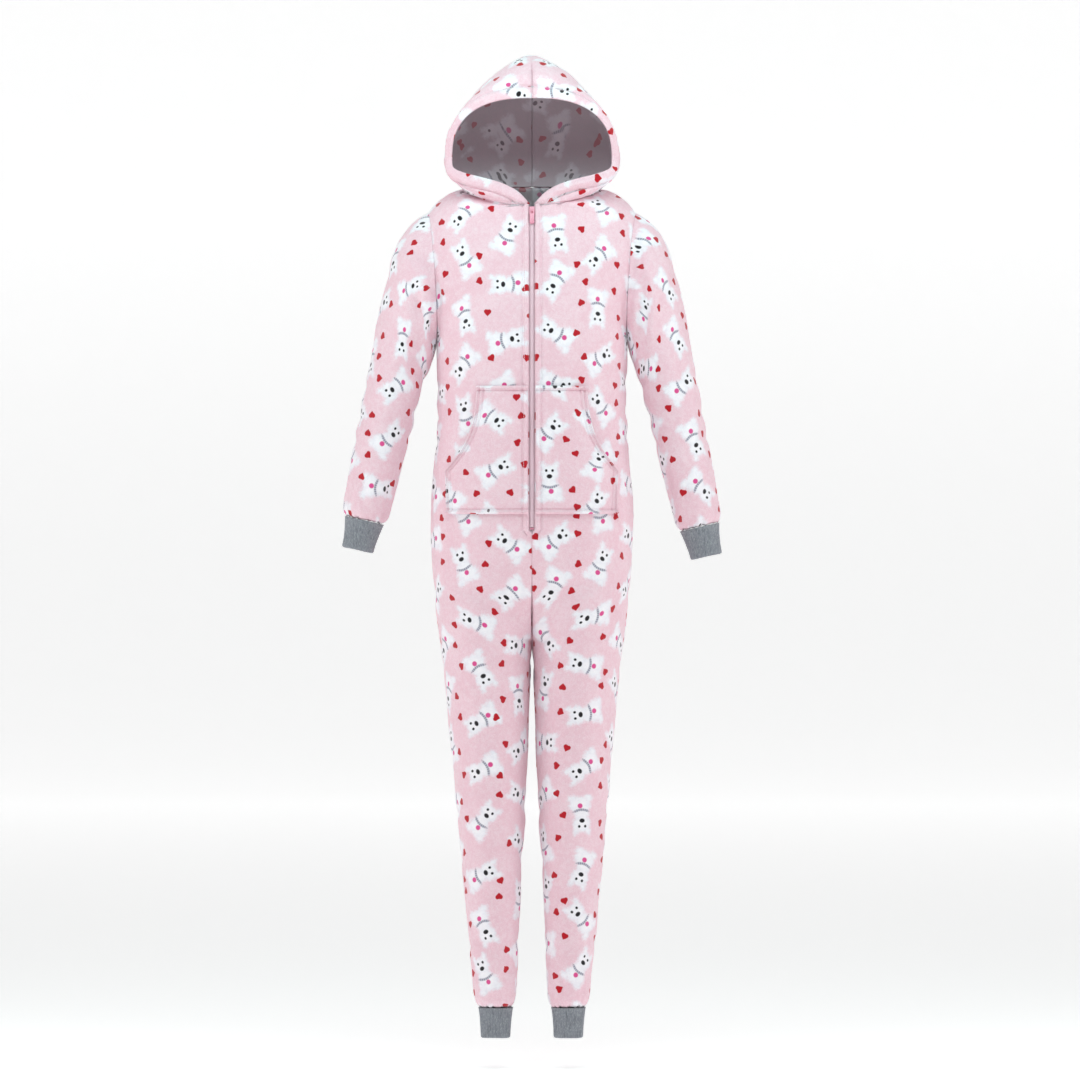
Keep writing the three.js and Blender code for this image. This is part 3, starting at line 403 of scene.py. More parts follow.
def hood_point(u, v):
    """A point of the hood on the +X side: u from the face edge to the back of the neck, v from the neckline up."""
    arch = at(HOOD, u)
    low_v = np.minimum(v, HOOD_SPLIT)
    foot = neckline_point(-1, u * HOOD_FOOT * PI / 2)
    foot_x, foot_y, foot_z = foot[..., 0], foot[..., 1], foot[..., 2] + SEAM
    turn = (low_v / HOOD_SPLIT) ** 1.4 * PI / 2
    high = np.sin(turn) ** arch.sag
    low = np.maximum(np.cos(turn), 0) ** arch.sag
    width = arch.wide - foot_x
    lip = (HOOD_LIP_Z - foot_z) * (1 - u) ** 8
    lower = place(
        foot_x + width * high,
        arch.wide_y + (foot_y - arch.wide_y) * low,
        arch.wide_z - (arch.wide_z - foot_z - lip) * low + 5 * np.sin(2 * turn) * (1 - u)
        - lip * (np.exp(-width * high / 30) - np.exp(-width / 30)))
    turn = (np.maximum(v, HOOD_SPLIT) - HOOD_SPLIT) / (1 - HOOD_SPLIT) * PI / 2
    power = 2 / arch.peak
    rising = np.sin(turn) ** power
    upper = place(
        SEAM / 2 + (arch.wide - SEAM / 2) * np.maximum(np.cos(turn), 0) ** power,
        arch.wide_y + (arch.top_y - arch.wide_y) * rising,
        arch.wide_z + (arch.top_z - arch.wide_z) * rising)
    places = np.where((v < HOOD_SPLIT)[..., None], lower, upper)
    closing = np.clip((u - HOOD_RIM) / (1 - HOOD_RIM), 0, 1)
    places[..., 2] += 3 * np.sin(PI * closing) * np.cos(PI * np.minimum(v, 0.5))
    in_front = v < HOOD_SPLIT
    share = np.where(in_front, lerp(HOOD_FOOT, 1, low_v / HOOD_SPLIT),
                     1 - (np.maximum(v, HOOD_SPLIT) - HOOD_SPLIT) / (1 - HOOD_SPLIT))
    rim = np.where(in_front[..., None], neckline_point(-1, share * PI / 2), neckline_point(1, share * PI / 2))
    rim[..., 2] += SEAM
    return lerp(places, rim, (closing ** 2)[..., None])


# What every piece of cloth shares

def lengths(places, axis):
    """Lengths along rows (axis 1) or columns (axis 0) of a grid, from its first point."""
    steps = np.linalg.norm(np.diff(places, axis=axis), axis=-1)
    start = np.zeros_like(np.take(steps, [0], axis=axis))
    return np.concatenate([start, np.cumsum(steps, axis=axis)], axis=axis)


def normals_of(places, sign, tube):
    if tube:
        joined = np.concatenate([places[:, -2:-1], places, places[:, 1:2]], axis=1)
        across = np.gradient(joined, axis=1)[:, 1:-1]
    else:
        across = np.gradient(places, axis=1)
    flat = np.cross(across, np.gradient(places, axis=0)) * sign
    return flat / np.maximum(np.linalg.norm(flat, axis=-1, keepdims=True), 1e-9)


def undulation(places, wavelength, seed, waves=9):
    """Soft unevenness between about -1 and 1."""
    source = np.random.default_rng(seed)
    total = np.zeros(places.shape[:-1])
    for _ in range(waves):
        direction = source.normal(size=3)
        direction *= 2 * PI / wavelength / np.linalg.norm(direction) * source.uniform(0.7, 1.4)
        total += np.sin(places @ direction + source.uniform(0, 2 * PI))
    return total / math.sqrt(waves)


def creased(places, normals):
    """How far the listed creases lift or sink each place."""
    total = np.zeros(places.shape[:-1])
    for view, rows in CREASES.items():
        first, second, axis, way = VIEWS[view]
        facing = smoothstep(normals[..., axis] * way, 0.05, 0.45)
        flat_a, flat_b = places[..., first], places[..., second]
        for a, b, to_a, to_b, bow, wide, deep in zip(*rows.values()):
            near = ((flat_a > min(a, to_a) - 4 * wide) & (flat_a < max(a, to_a) + 4 * wide)
                    & (flat_b > min(b, to_b) - 4 * wide) & (flat_b < max(b, to_b) + 4 * wide) & (facing > 0))
            if not near.any():
                continue
            at_a, at_b = flat_a[near], flat_b[near]
            length = math.hypot(to_a - a, to_b - b)
            off_a, off_b = (b - to_b) / length * bow, (to_a - a) / length * bow
            best = np.full(at_a.shape, np.inf)
            along = np.zeros(at_a.shape)
            line = np.linspace(0, 1, 9)
            line_a = lerp(a, to_a, line) + off_a * np.sin(PI * line)
            line_b = lerp(b, to_b, line) + off_b * np.sin(PI * line)
            for k in range(8):
                step_a, step_b = line_a[k + 1] - line_a[k], line_b[k + 1] - line_b[k]
                share = np.clip(((at_a - line_a[k]) * step_a + (at_b - line_b[k]) * step_b)
                                / (step_a ** 2 + step_b ** 2), 0, 1)
                away = np.hypot(at_a - line_a[k] - share * step_a, at_b - line_b[k] - share * step_b)
                closer = away < best
                along = np.where(closer, (k + share) / 8, along)
                best = np.where(closer, away, best)
            fade = np.sin(PI * np.clip(along * 0.96 + 0.02, 0, 1)) ** 0.6
            shape = np.exp(-((best / wide) ** 2)) - 0.32 * np.exp(-(((best - 2.1 * wide) / wide) ** 2))
            total[near] -= 1.4 * deep * fade * shape * facing[near]
    return total


def dip(distance, deep, wide):
    """A seam's valley beside an edge."""
    return -deep * np.exp(-((distance / wide) ** 2))


def ridge(distance, middle, high, wide):
    return high * np.exp(-(((distance - middle) / wide) ** 2))


def gathers(distance, turn, count, seed, high, reach):
    """Small pleats that run out of a gathered edge."""
    source = np.random.default_rng(seed)
    waves = sum(source.uniform(0.5, 1) * np.sin(turn * (count + k) + source.uniform(0, 2 * PI)) for k in (-5, 0, 4))
    return high * waves / 1.6 * np.exp(-distance / reach)


def met(places, tube):
    """Places whose edges reach on by as much as two pieces' gap, so that no light shows through a seam."""
    places = places.copy()
    edges = [(np.s_[0], np.s_[2]), (np.s_[-1], np.s_[-3])]
    if not tube:
        edges += [(np.s_[:, 0], np.s_[:, 2]), (np.s_[:, -1], np.s_[:, -3])]
    for edge, next_in in edges:
        outwards = places[edge] - places[next_in]
        reach = np.maximum(np.linalg.norm(outwards, axis=-1, keepdims=True), 1e-6)
        places[edge] += outwards / reach * 1.2 * SEAM
    return places


def cloth(name, places, cut, sign, node, relief, finish, tube=False, thick=None, hold=None, hidden_rim=False):
    """A piece of cloth from a grid of places, with its cut as its UV map, that stands for a CAD node."""
    normals = normals_of(places, sign, tube)
    moved = met(places + normals * relief[..., None], tube)
    if hold:
        hold(moved)
    if tube:
        moved[:, -1] = moved[:, 0]
    rows, columns = moved.shape[:2]
    mesh = bmesh.new()
    layer = mesh.loops.layers.uv.new(CUT)
    bmesh.ops.create_grid(mesh, x_segments=columns - 1, y_segments=rows - 1, size=0.5)
    mesh.verts.index_update()
    for vert, target in zip(mesh.verts, (moved.reshape(-1, 3) * MM).tolist()):
        vert.co = target
    flat_cut = (cut.reshape(-1, 2) * MM).tolist()
    for face in mesh.faces:
        face.smooth = True
        for loop in face.loops:
            loop[layer].uv = flat_cut[loop.vert.index]
    if sign < 0:
        bmesh.ops.reverse_faces(mesh, faces=mesh.faces)
    if tube:
        bmesh.ops.remove_doubles(mesh, verts=mesh.verts, dist=1e-6)
    piece = finished(name, mesh, finish, node)
    wall = piece.modifiers.new("Wall", "SOLIDIFY")
    wall.thickness = thick or bpy.context.scene.onesie_sizes.fleece
    wall.offset = -1
    wall.material_offset = 1 if len(finish.materials) > 1 else 0
    wall.material_offset_rim = wall.material_offset if hidden_rim else 0
    return SimpleNamespace(piece=piece, places=moved, normals=normals)


def relaxed(places, cut, step=6, rounds=900):
    """A cut with less stretch: the links of a coarse net in it are pulled to their lengths on the surface."""
    rows = np.unique(np.append(np.arange(0, len(places), step), len(places) - 1))
    columns = np.unique(np.append(np.arange(0, places.shape[1], step), places.shape[1] - 1))
    solid, net = places[np.ix_(rows, columns)], cut[np.ix_(rows, columns)].copy()
    all_, most, rest = slice(None), slice(None, -1), slice(1, None)
    links = [((most, all_), (rest, all_)), ((all_, most), (all_, rest)),
             ((most, most), (rest, rest)), ((most, rest), (rest, most))]
    spans = [np.linalg.norm(solid[to] - solid[start], axis=-1) for start, to in links]
    for _ in range(rounds):
        push = np.zeros_like(net)
        for (start, to), span in zip(links, spans):
            apart = net[to] - net[start]
            size = np.linalg.norm(apart, axis=-1)
            pull = apart * (0.12 * (1 - span / np.maximum(size, 1e-6)))[..., None]
            push[start] += pull
            push[to] -= pull
        net += push
    across = np.stack([[np.interp(np.arange(places.shape[1]), columns, row[:, part]) for part in (0, 1)] for row in net])
    full = np.empty_like(cut)
    for column in range(places.shape[1]):
        for part in (0, 1):
            full[:, column, part] = np.interp(np.arange(len(places)), rows, across[:, part, column])
    return full


def finished(name, mesh, finish, node=None, body="garment"):
    """An object from a bmesh, with its materials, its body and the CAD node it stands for."""
    data = bpy.data.meshes.new(name)
    mesh.to_mesh(data)
    mesh.free()
    piece = bpy.data.objects.new(name, data)
    bpy.context.collection.objects.link(piece)
    for material in finish.materials:
        data.materials.append(material)
    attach(piece, body)
    if node:
        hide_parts(node)
    return piece


# Materials

class Nodes:
    """Builds a node tree from short expressions."""

    def __init__(self, tree):
        self.tree = tree

    def add(self, kind, inputs=None, **settings):
        node = self.tree.nodes.new(kind)
        for key, value in settings.items():
            setattr(node, key, value)
        for key, value in (inputs or {}).items():
            if isinstance(value, bpy.types.NodeSocket):
                self.tree.links.new(value, node.inputs[key])
            else:
                node.inputs[key].default_value = value
        return node

    def math(self, operation, *values):
        return self.add("ShaderNodeMath", dict(enumerate(values)), operation=operation).outputs[0]

    def vector(self, operation, *values):
        node = self.add("ShaderNodeVectorMath", operation=operation)
        for index, value in enumerate(values):
            socket = node.inputs["Scale"] if operation == "SCALE" and index == 1 else node.inputs[index]
            if isinstance(value, bpy.types.NodeSocket):
                self.tree.links.new(value, socket)
            else:
                socket.default_value = value
        return node.outputs["Value" if operation in ("LENGTH", "DOT_PRODUCT") else "Vector"]

    def soft(self, value, start, end):
        """0 before start and 1 after end, or the reverse, with a soft step between."""
        node = self.add("ShaderNodeMapRange", {0: value, 1: start, 2: end}, interpolation_type="SMOOTHSTEP")
        return node.outputs[0]

    def mix(self, share, first, second):
        node = self.add("ShaderNodeMix", data_type="RGBA")
        for index, value in ((0, share), (6, first), (7, second)):
            if isinstance(value, bpy.types.NodeSocket):
                self.tree.links.new(value, node.inputs[index])
            else:
                node.inputs[index].default_value = value if index == 0 else (*value, 1)
        return node.outputs[2]

    def noise(self, vector, scale, detail=2.0, rough=0.5):
        node = self.add("ShaderNodeTexNoise", {"Vector": vector, "Scale": scale, "Detail": detail, "Roughness": rough})
        return node.outputs[0]


def flip_range(nodes, value, start, end):
    return nodes.math("SUBTRACT", 1.0, nodes.soft(value, start, end))


def ellipse(nodes, at_point, centre, radii, tilt=0.0):
    """About how far a point is outside an ellipse, in millimetres."""
    off = nodes.vector("SUBTRACT", at_point, (*centre, 0))
    if tilt:
        off = nodes.add("ShaderNodeVectorRotate", {"Vector": off, "Angle": tilt}, rotation_type="Z_AXIS").outputs[0]
    ratio = nodes.vector("LENGTH", nodes.vector("DIVIDE", off, (*radii, 1)))
    return nodes.math("MULTIPLY", nodes.math("SUBTRACT", ratio, 1.0), min(radii))


def joined(nodes, distances, softness=3.0):
    whole = distances[0]
    for distance in distances[1:]:
        whole = nodes.math("SMOOTH_MIN", whole, distance, softness)
    return whole


def lattice(nodes, point, across, down, drop, seed):
    """The place in a cell of a half-drop lattice, and three random numbers for that cell."""
    apart = nodes.add("ShaderNodeSeparateXYZ", {0: point})
    column = nodes.math("FLOOR", nodes.math("DIVIDE", apart.outputs[0], across))
    shifted = nodes.math("ADD", apart.outputs[1], nodes.math("MULTIPLY", nodes.math("FLOORED_MODULO", column, 2.0), drop))
    row = nodes.math("FLOOR", nodes.math("DIVIDE", shifted, down))
    cell = nodes.add("ShaderNodeCombineXYZ", {0: column, 1: row, 2: seed})
    chance = nodes.add("ShaderNodeTexWhiteNoise", {"Vector": cell.outputs[0]}, noise_dimensions="3D")
    parts = nodes.add("ShaderNodeSeparateColor", {0: chance.outputs[1]})
    local_x = nodes.math("SUBTRACT", apart.outputs[0], nodes.math("MULTIPLY", nodes.math("ADD", column, 0.5), across))
    local_y = nodes.math("SUBTRACT", shifted, nodes.math("MULTIPLY", nodes.math("ADD", row, 0.5), down))
    return nodes.add("ShaderNodeCombineXYZ", {0: local_x, 1: local_y}).outputs[0], parts.outputs


def tossed(nodes, point, chances, jitter, turning):
    """A cell's place moved and turned by its random numbers."""
    move = nodes.add("ShaderNodeCombineXYZ", {0: chances[0], 1: chances[1]}).outputs[0]
    move = nodes.vector("MULTIPLY", nodes.vector("SUBTRACT", move, (0.5, 0.5, 0)), (*jitter, 0))
    off = nodes.vector("SUBTRACT", point, move)
    angle = nodes.math("MULTIPLY", chances[2], turning)
    return nodes.add("ShaderNodeVectorRotate", {"Vector": off, "Angle": angle}, rotation_type="Z_AXIS").outputs[0]


def print_group(colours, sizes):
    """The print: tossed puppies with collars, and small hearts between them. It reads the cut's UV map."""
    tree = bpy.data.node_groups.new("Puppy print", "ShaderNodeTree")
    tree.interface.new_socket("Ground", in_out="INPUT", socket_type="NodeSocketColor")
    tree.interface.new_socket("Colour", in_out="OUTPUT", socket_type="NodeSocketColor")
    nodes = Nodes(tree)
    ground = nodes.add("NodeGroupInput").outputs["Ground"]
    across, down = sizes.puppy_across / MM, sizes.puppy_down / MM
    uv = nodes.add("ShaderNodeUVMap", uv_map=CUT).outputs[0]
    point = nodes.vector("SCALE", uv, 1 / MM)
    local, chances = lattice(nodes, point, across, down, down / 2, 8.0)
    dog = tossed(nodes, local, chances, (8.0, 12.0), 2 * PI)
    shag = nodes.math("MULTIPLY", nodes.math("SUBTRACT", nodes.noise(uv, 230.0, 3.0, 0.62), 0.5), 9.0)

    head = ellipse(nodes, dog, (0, 15), (15.5, 14))
    ears = [ellipse(nodes, dog, (10.5 * way, 27), (4.6, 7.5), 0.35 * way) for way in (-1, 1)]
    chest = ellipse(nodes, dog, (0, -3), (13, 12))
    body = ellipse(nodes, dog, (2.5, -16), (19, 14))
    paws = [ellipse(nodes, dog, middle, (8, 6)) for middle in ((-12, -27), (15, -26))]
    coat = nodes.math("ADD", joined(nodes, [head, chest, body, *ears, *paws], 5.0), shag)
    shows = flip_range(nodes, coat, -3.4, 3.6)

    clump = nodes.soft(nodes.noise(uv, 130.0, 3.0, 0.6), 0.42, 0.68)
    far_in = nodes.math("MULTIPLY", nodes.soft(coat, -9.0, -1.0), 0.35)
    shaded = nodes.math("ADD", nodes.math("MULTIPLY", clump, 0.3), far_in)
    coat_colour = nodes.mix(shaded, colours.puppy, colours.puppy_shade)

    apart = nodes.add("ShaderNodeSeparateXYZ", {0: dog}).outputs
    from_ring = nodes.vector("SUBTRACT", dog, (0, 15.5, 0))
    ring = nodes.math("ABSOLUTE", nodes.math("SUBTRACT", nodes.vector("LENGTH", from_ring), 23.5))
    ring = nodes.math("ADD", ring, nodes.math("MULTIPLY", shag, 0.12))
    under = flip_range(nodes, apart[1], -4.5, -2.5)
    collar = nodes.math("MULTIPLY", flip_range(nodes, ring, 0.8, 3.1), under)
    round_neck = nodes.math("ARCTAN2", nodes.math("SUBTRACT", apart[1], 15.5), apart[0])
    links = nodes.soft(nodes.math("SINE", nodes.math("MULTIPLY", round_neck, 42.0)), -0.6, 0.6)
    collar_colour = nodes.mix(links, colours.collar, [min(1.0, 2.0 * part) for part in colours.collar])
    tag = flip_range(nodes, ellipse(nodes, dog, (2.5, -14.5), (4.2, 4.2)), -1.0, 0.9)
    eyes = [ellipse(nodes, dog, (5.2 * way, 19.5), (2.1, 2.3)) for way in (-1, 1)]
    nose = ellipse(nodes, dog, (0, 10), (4.5, 3.5))
    features = nodes.math("MINIMUM", nodes.math("MINIMUM", *eyes), nose)
    dark = flip_range(nodes, features, -0.7, 0.8)
    coat_colour = nodes.mix(collar, coat_colour, collar_colour)
    coat_colour = nodes.mix(tag, coat_colour, colours.tag)
    coat_colour = nodes.mix(dark, coat_colour, colours.nose)

    between = nodes.vector("ADD", point, (across / 2, down / 4, 0))
    local, chances = lattice(nodes, between, across, down / 2, 0.0, 11.0)
    heart = tossed(nodes, local, chances, (24.0, 26.0), 2 * PI)
    lobes = [nodes.math("SUBTRACT", nodes.vector("LENGTH", nodes.vector("SUBTRACT", heart, (2.9 * way, 1.8, 0))), 3.4)
             for way in (-1, 1)]
    corner = nodes.add("ShaderNodeSeparateXYZ", {0: nodes.vector("ABSOLUTE", nodes.vector("SUBTRACT", heart, (0, -0.4, 0)))}).outputs
    diamond = nodes.math("MULTIPLY", nodes.math("SUBTRACT", nodes.math("ADD", corner[0], corner[1]), 5.8), 0.72)
    heart_far = nodes.math("MINIMUM", nodes.math("MINIMUM", *lobes), diamond)
    heart_far = nodes.math("ADD", heart_far, nodes.math("MULTIPLY", shag, 0.16))
    there = nodes.math("LESS_THAN", nodes.math("FRACT", nodes.math("MULTIPLY", chances[2], 37.0)), 0.9)
    heart_shows = nodes.math("MULTIPLY", flip_range(nodes, heart_far, -0.5, 0.7), there)
    result = nodes.mix(shows, ground, coat_colour)
    result = nodes.mix(heart_shows, result, colours.heart)
    nodes.add("NodeGroupOutput", {"Colour": result})
    return tree


def bare_material(name):
    material = bpy.data.materials.new(name)
    material.use_nodes = True
    nodes = Nodes(material.node_tree)
    shader = material.node_tree.nodes["Principled BSDF"]
    return material, nodes, shader


def fleece_material(name, colours, sizes, pattern, inside):
    """Brushed fleece with the print. Its nap is a fine bump and a mottling of the ground, with painted light on the
    raised tufts and painted shade between them; the inside copy is painted darker and greyer as painted shade.
    """
    material, nodes, shader = bare_material(name)
    here = nodes.add("ShaderNodeTexCoord").outputs["Object"]
    tuft = nodes.noise(here, 1 / sizes.nap, 3.0, 0.6)
    clump = nodes.noise(here, 0.25 / sizes.nap, 3.0, 0.55)
    wide = nodes.noise(here, 22.0, 2.0, 0.5)
    # Mask of the lighter ground: the bump's own tuft noise, so painted light on raised tufts, with a random wide
    # mottling added
    light = nodes.math("ADD", nodes.math("MULTIPLY", tuft, 0.5), nodes.math("MULTIPLY", clump, 0.7))
    light = nodes.soft(nodes.math("ADD", light, nodes.math("MULTIPLY", wide, 0.4)), 0.6, 1.05)
    ground = nodes.mix(light, colours.inside if inside else colours.fleece, colours.fleece if inside else colours.fleece_mottle_and_painted_light)
    # Inside copy: the ground is pulled towards the darker, greyer inside colour as painted shade
    if inside:
        ground = nodes.mix(0.75, ground, colours.inside)
    group = nodes.tree.nodes.new("ShaderNodeGroup")
    group.node_tree = pattern
    nodes.tree.links.new(ground, group.inputs["Ground"])
    printed = group.outputs["Colour"]
    # Painted light and shade of the nap: the whole print is lighter on the raised tufts and darker between them, from
    # the bump's own noise
    shade = nodes.math("ADD", 0.93, nodes.math("MULTIPLY", tuft, 0.14))
    tinted = nodes.vector("MULTIPLY", printed, nodes.add("ShaderNodeCombineXYZ", {0: shade, 1: shade, 2: shade}).outputs[0])
    # Inside copy: the print is pulled towards the inside colour too, which adds more painted shade
    if inside:
        tinted = nodes.mix(0.45, tinted, colours.inside)
    nodes.tree.links.new(tinted, shader.inputs["Base Color"])
    height = nodes.math("ADD", tuft, nodes.math("MULTIPLY", clump, 1.6))
    bump = nodes.add("ShaderNodeBump", {"Strength": 0.55, "Distance": 0.0011, "Height": height})
    nodes.tree.links.new(bump.outputs[0], shader.inputs["Normal"])
    shader.inputs["Roughness"].default_value = 0.96
    shader.inputs["Specular IOR Level"].default_value = 0.15
    shader.inputs["Sheen Weight"].default_value = 0.3
    shader.inputs["Sheen Roughness"].default_value = 0.6
    shader.inputs["Sheen Tint"].default_value = (1.0, 0.93, 0.95, 1)
    return material


def rib_material(colours):
    """Grey marl rib: pale and dark fibres in a plain grey, with rows of small knit loops."""
    material, nodes, shader = bare_material("Rib knit")
    here = nodes.add("ShaderNodeTexCoord").outputs["Object"]
    cut = nodes.add("ShaderNodeUVMap", uv_map=CUT).outputs[0]
    fibre = nodes.noise(nodes.vector("MULTIPLY", here, (1.0, 1.0, 0.28)), 900.0, 3.0, 0.65)
    streak = nodes.noise(nodes.vector("MULTIPLY", here, (1.0, 1.0, 0.12)), 420.0, 2.0, 0.5)
    pale = nodes.soft(fibre, 0.5, 0.66)
    dark = nodes.soft(streak, 0.52, 0.68)
    base = nodes.mix(nodes.math("MULTIPLY", pale, 0.75), colours.rib, colours.rib_light)
    base = nodes.mix(nodes.math("MULTIPLY", dark, 0.5), base, colours.rib_dark)
    nodes.tree.links.new(base, shader.inputs["Base Color"])
    loops = nodes.math("SINE", nodes.math("MULTIPLY", nodes.add("ShaderNodeSeparateXYZ", {0: cut}).outputs[1], 2 * PI / 0.0013))
    height = nodes.math("ADD", nodes.math("MULTIPLY", loops, 0.5), fibre)
    bump = nodes.add("ShaderNodeBump", {"Strength": 0.5, "Distance": 0.0004, "Height": height})
    nodes.tree.links.new(bump.outputs[0], shader.inputs["Normal"])
    shader.inputs["Roughness"].default_value = 0.93
    shader.inputs["Specular IOR Level"].default_value = 0.2
    shader.inputs["Sheen Weight"].default_value = 0.3
    shader.inputs["Sheen Roughness"].default_value = 0.5
    return material


def tape_material(colours):
    """Woven zip tape with fine crosswise ribs."""
    material, nodes, shader = bare_material("Zip tape")
    cut = nodes.add("ShaderNodeUVMap", uv_map=CUT).outputs[0]
    apart = nodes.add("ShaderNodeSeparateXYZ", {0: cut}).outputs
    warp = nodes.math("SINE", nodes.math("MULTIPLY", apart[0], 2 * PI / 0.0009))
    weft = nodes.math("SINE", nodes.math("MULTIPLY", apart[1], 2 * PI / 0.0007))
    weave = nodes.math("MULTIPLY", warp, weft)
    # Painted shade in the weave: the low points of the weave are darker, following the bump's height
    base = nodes.mix(nodes.soft(weave, -1.0, 1.0), [0.86 * part for part in colours.tape], colours.tape)
    nodes.tree.links.new(base, shader.inputs["Base Color"])
    bump = nodes.add("ShaderNodeBump", {"Strength": 0.5, "Distance": 0.0003, "Height": weave})
    nodes.tree.links.new(bump.outputs[0], shader.inputs["Normal"])
    shader.inputs["Roughness"].default_value = 0.8
    return material


def coil_material(colours):
    """Nylon coil, a little shiny, a little darker in a fine random grain."""
    material, nodes, shader = bare_material("Zip coil")
    here = nodes.add("ShaderNodeTexCoord").outputs["Object"]
    grain = nodes.noise(here, 1500.0, 2.0, 0.5)
    base = nodes.mix(grain, [0.9 * part for part in colours.coil], colours.coil)
    nodes.tree.links.new(base, shader.inputs["Base Color"])
    shader.inputs["Roughness"].default_value = 0.42
    return material


def enamel_material(colours):
    """Lacquered metal in the cloth's colour, a little worn in small random specks."""
    material, nodes, shader = bare_material("Zip enamel")
    here = nodes.add("ShaderNodeTexCoord").outputs["Object"]
    speck = nodes.noise(here, 700.0, 3.0, 0.6)
    base = nodes.mix(nodes.soft(speck, 0.35, 0.7), colours.enamel, [min(1.0, 1.16 * part) for part in colours.enamel])
    nodes.tree.links.new(base, shader.inputs["Base Color"])
    nodes.tree.links.new(nodes.math("ADD", 0.26, nodes.math("MULTIPLY", speck, 0.14)), shader.inputs["Roughness"])
    bump = nodes.add("ShaderNodeBump", {"Strength": 0.15, "Distance": 0.0002, "Height": speck})
    nodes.tree.links.new(bump.outputs[0], shader.inputs["Normal"])
    shader.inputs["Coat Weight"].default_value = 0.4
    shader.inputs["Coat Roughness"].default_value = 0.15
    return material


def thread_material(colours):
    """Twisted sewing thread."""
    material, nodes, shader = bare_material("Thread")
    here = nodes.add("ShaderNodeTexCoord").outputs["Object"]
    twist = nodes.noise(here, 1800.0, 2.0, 0.5)
    base = nodes.mix(twist, [0.78 * part for part in colours.thread], colours.thread)
    nodes.tree.links.new(base, shader.inputs["Base Color"])
    shader.inputs["Roughness"].default_value = 0.7
    shader.inputs["Sheen Weight"].default_value = 0.2
    return material


def finishes():
    """The materials with the slot of each, made once."""
    if not FINISHES:
        scene = bpy.context.scene
        colours, sizes = scene.onesie_colours, scene.onesie_sizes
        pattern = print_group(colours, sizes)
        outer = fleece_material("Fleece", colours, sizes, pattern, False)
        # The inside material is a copy of the fleece with painted shade: darker and greyer than the outside
        inner = fleece_material("Fleece inside", colours, sizes, pattern, True)
        FINISHES.update(
            fleece=SimpleNamespace(materials=[outer, inner], slot="fleece", held="hung"),
            rib=SimpleNamespace(materials=[rib_material(colours)], slot="rib_knit", held="gathered"),
            tape=SimpleNamespace(materials=[tape_material(colours)], slot="zip_tape", held="hung"),
            coil=SimpleNamespace(materials=[coil_material(colours)], slot="zip_tape"),
            enamel=SimpleNamespace(materials=[enamel_material(colours)], slot="zip_enamel"),
            thread=SimpleNamespace(materials=[thread_material(colours)], slot="fleece"))
    return SimpleNamespace(**FINISHES)


FINISHES = {}
MADE = {}


# Operators

class ONESIE_OT_body(bpy.types.Operator):
    """Make the fronts and backs, each cut in one from shoulder to ankle"""

    bl_idname = "onesie.body"
    bl_label = "Fronts and backs"

    def execute(self, context):
        for word, side in SIDES:
            for face_word, face in (("front", -1), ("back", 1)):
                self.make(f"{face_word}_{word}", side, face)
        return {"FINISHED"}

    def make(self, node, side, face):
        places, legs, armpit = panel_places(side, face)
        rows, columns = places.shape[:2]
        sign = -1 if side * face > 0 else 1
        across = lengths(places, 1)
        middle = columns // 2
        s = across + np.abs(places[:, :1, 0])
        steady = s[legs:legs + 1, middle:middle + 1]
        s[:legs] = steady + across[:legs] - across[:legs, middle:middle + 1]
        level = np.abs(places[:, middle, 1])
        steps = np.hypot(np.diff(places[:, middle, 2]), np.diff(level))
        t = np.repeat(np.concatenate([[0], np.cumsum(steps)])[:, None], columns, 1)
        climbing = np.hypot(np.diff(places[armpit - 1:, :, 1], axis=0), np.diff(places[armpit - 1:, :, 2], axis=0))
        t[armpit:] = t[armpit - 1] + np.cumsum(climbing, axis=0)
        cut = np.stack([side * s + {"front": 0.0, "back": 331.0}[node.split("_")[0]], t + 17 * side], -1)

        normals = normals_of(places, sign, False)
        z = places[..., 2]
        to_side = across[:, -1:] - across
        up = lengths(places, 0)
        to_shoulder = up[-1:] - up
        zipped = (z > ZIP_END_Z - CLOSING) & (face < 0)
        to_neck = np.where(np.arange(rows)[:, None] > rows - 34, across, 99)
        relief = creased(places, normals)
        relief += 0.7 * undulation(places, 85, 5) + 0.22 * undulation(places, 17, 6)
        relief *= np.where(z > ARMPIT_Z - 8, smoothstep(to_side, 0, 14), 1) * smoothstep(to_neck, 0, 12)
        relief += dip(to_side, 1.3, 4.5) * np.where(z > ARMPIT_Z, 0.3, 1) + dip(to_shoulder, 0.7, 4.5)
        relief += np.where(zipped, ridge(across, 4.0, 2.4, 2.8) + ridge(across, 9.2, -2.0, 1.6) - 1.2 * np.exp(-across / 1.2),
                           dip(across, 1.5, 4.5))
        relief += dip(to_neck, 0.4, 4.0)
        turn = np.arctan2(places[..., 1], np.abs(places[..., 0]) - 60) + 0 * z
        hem = gathers(up, turn, 17, 40 + side + 2 * face, 1.3, 16) * (z < -1200)
        relief += hem + dip(up, 1.6, 3.0)

        def hold(moved):
            joined = ~zipped[:, 0] & (z[:, 0] > CROTCH_Z) & (np.arange(rows) <= rows - 34)
            moved[joined, 0, 0] = 0
            moved[z[:, -1] < ARMPIT_Z, -1, 1] = 0
            moved[joined, 1:, 0] = side * np.maximum(side * moved[joined, 1:, 0], 0.05)
            moved[..., 0] -= np.where(zipped, side * 1.3 * np.exp(-across / 5), 0)

        MADE[node] = cloth(
            f"{node}_cloth", places, cut, sign, node, relief, finishes().fleece, hold=hold, hidden_rim=face > 0)


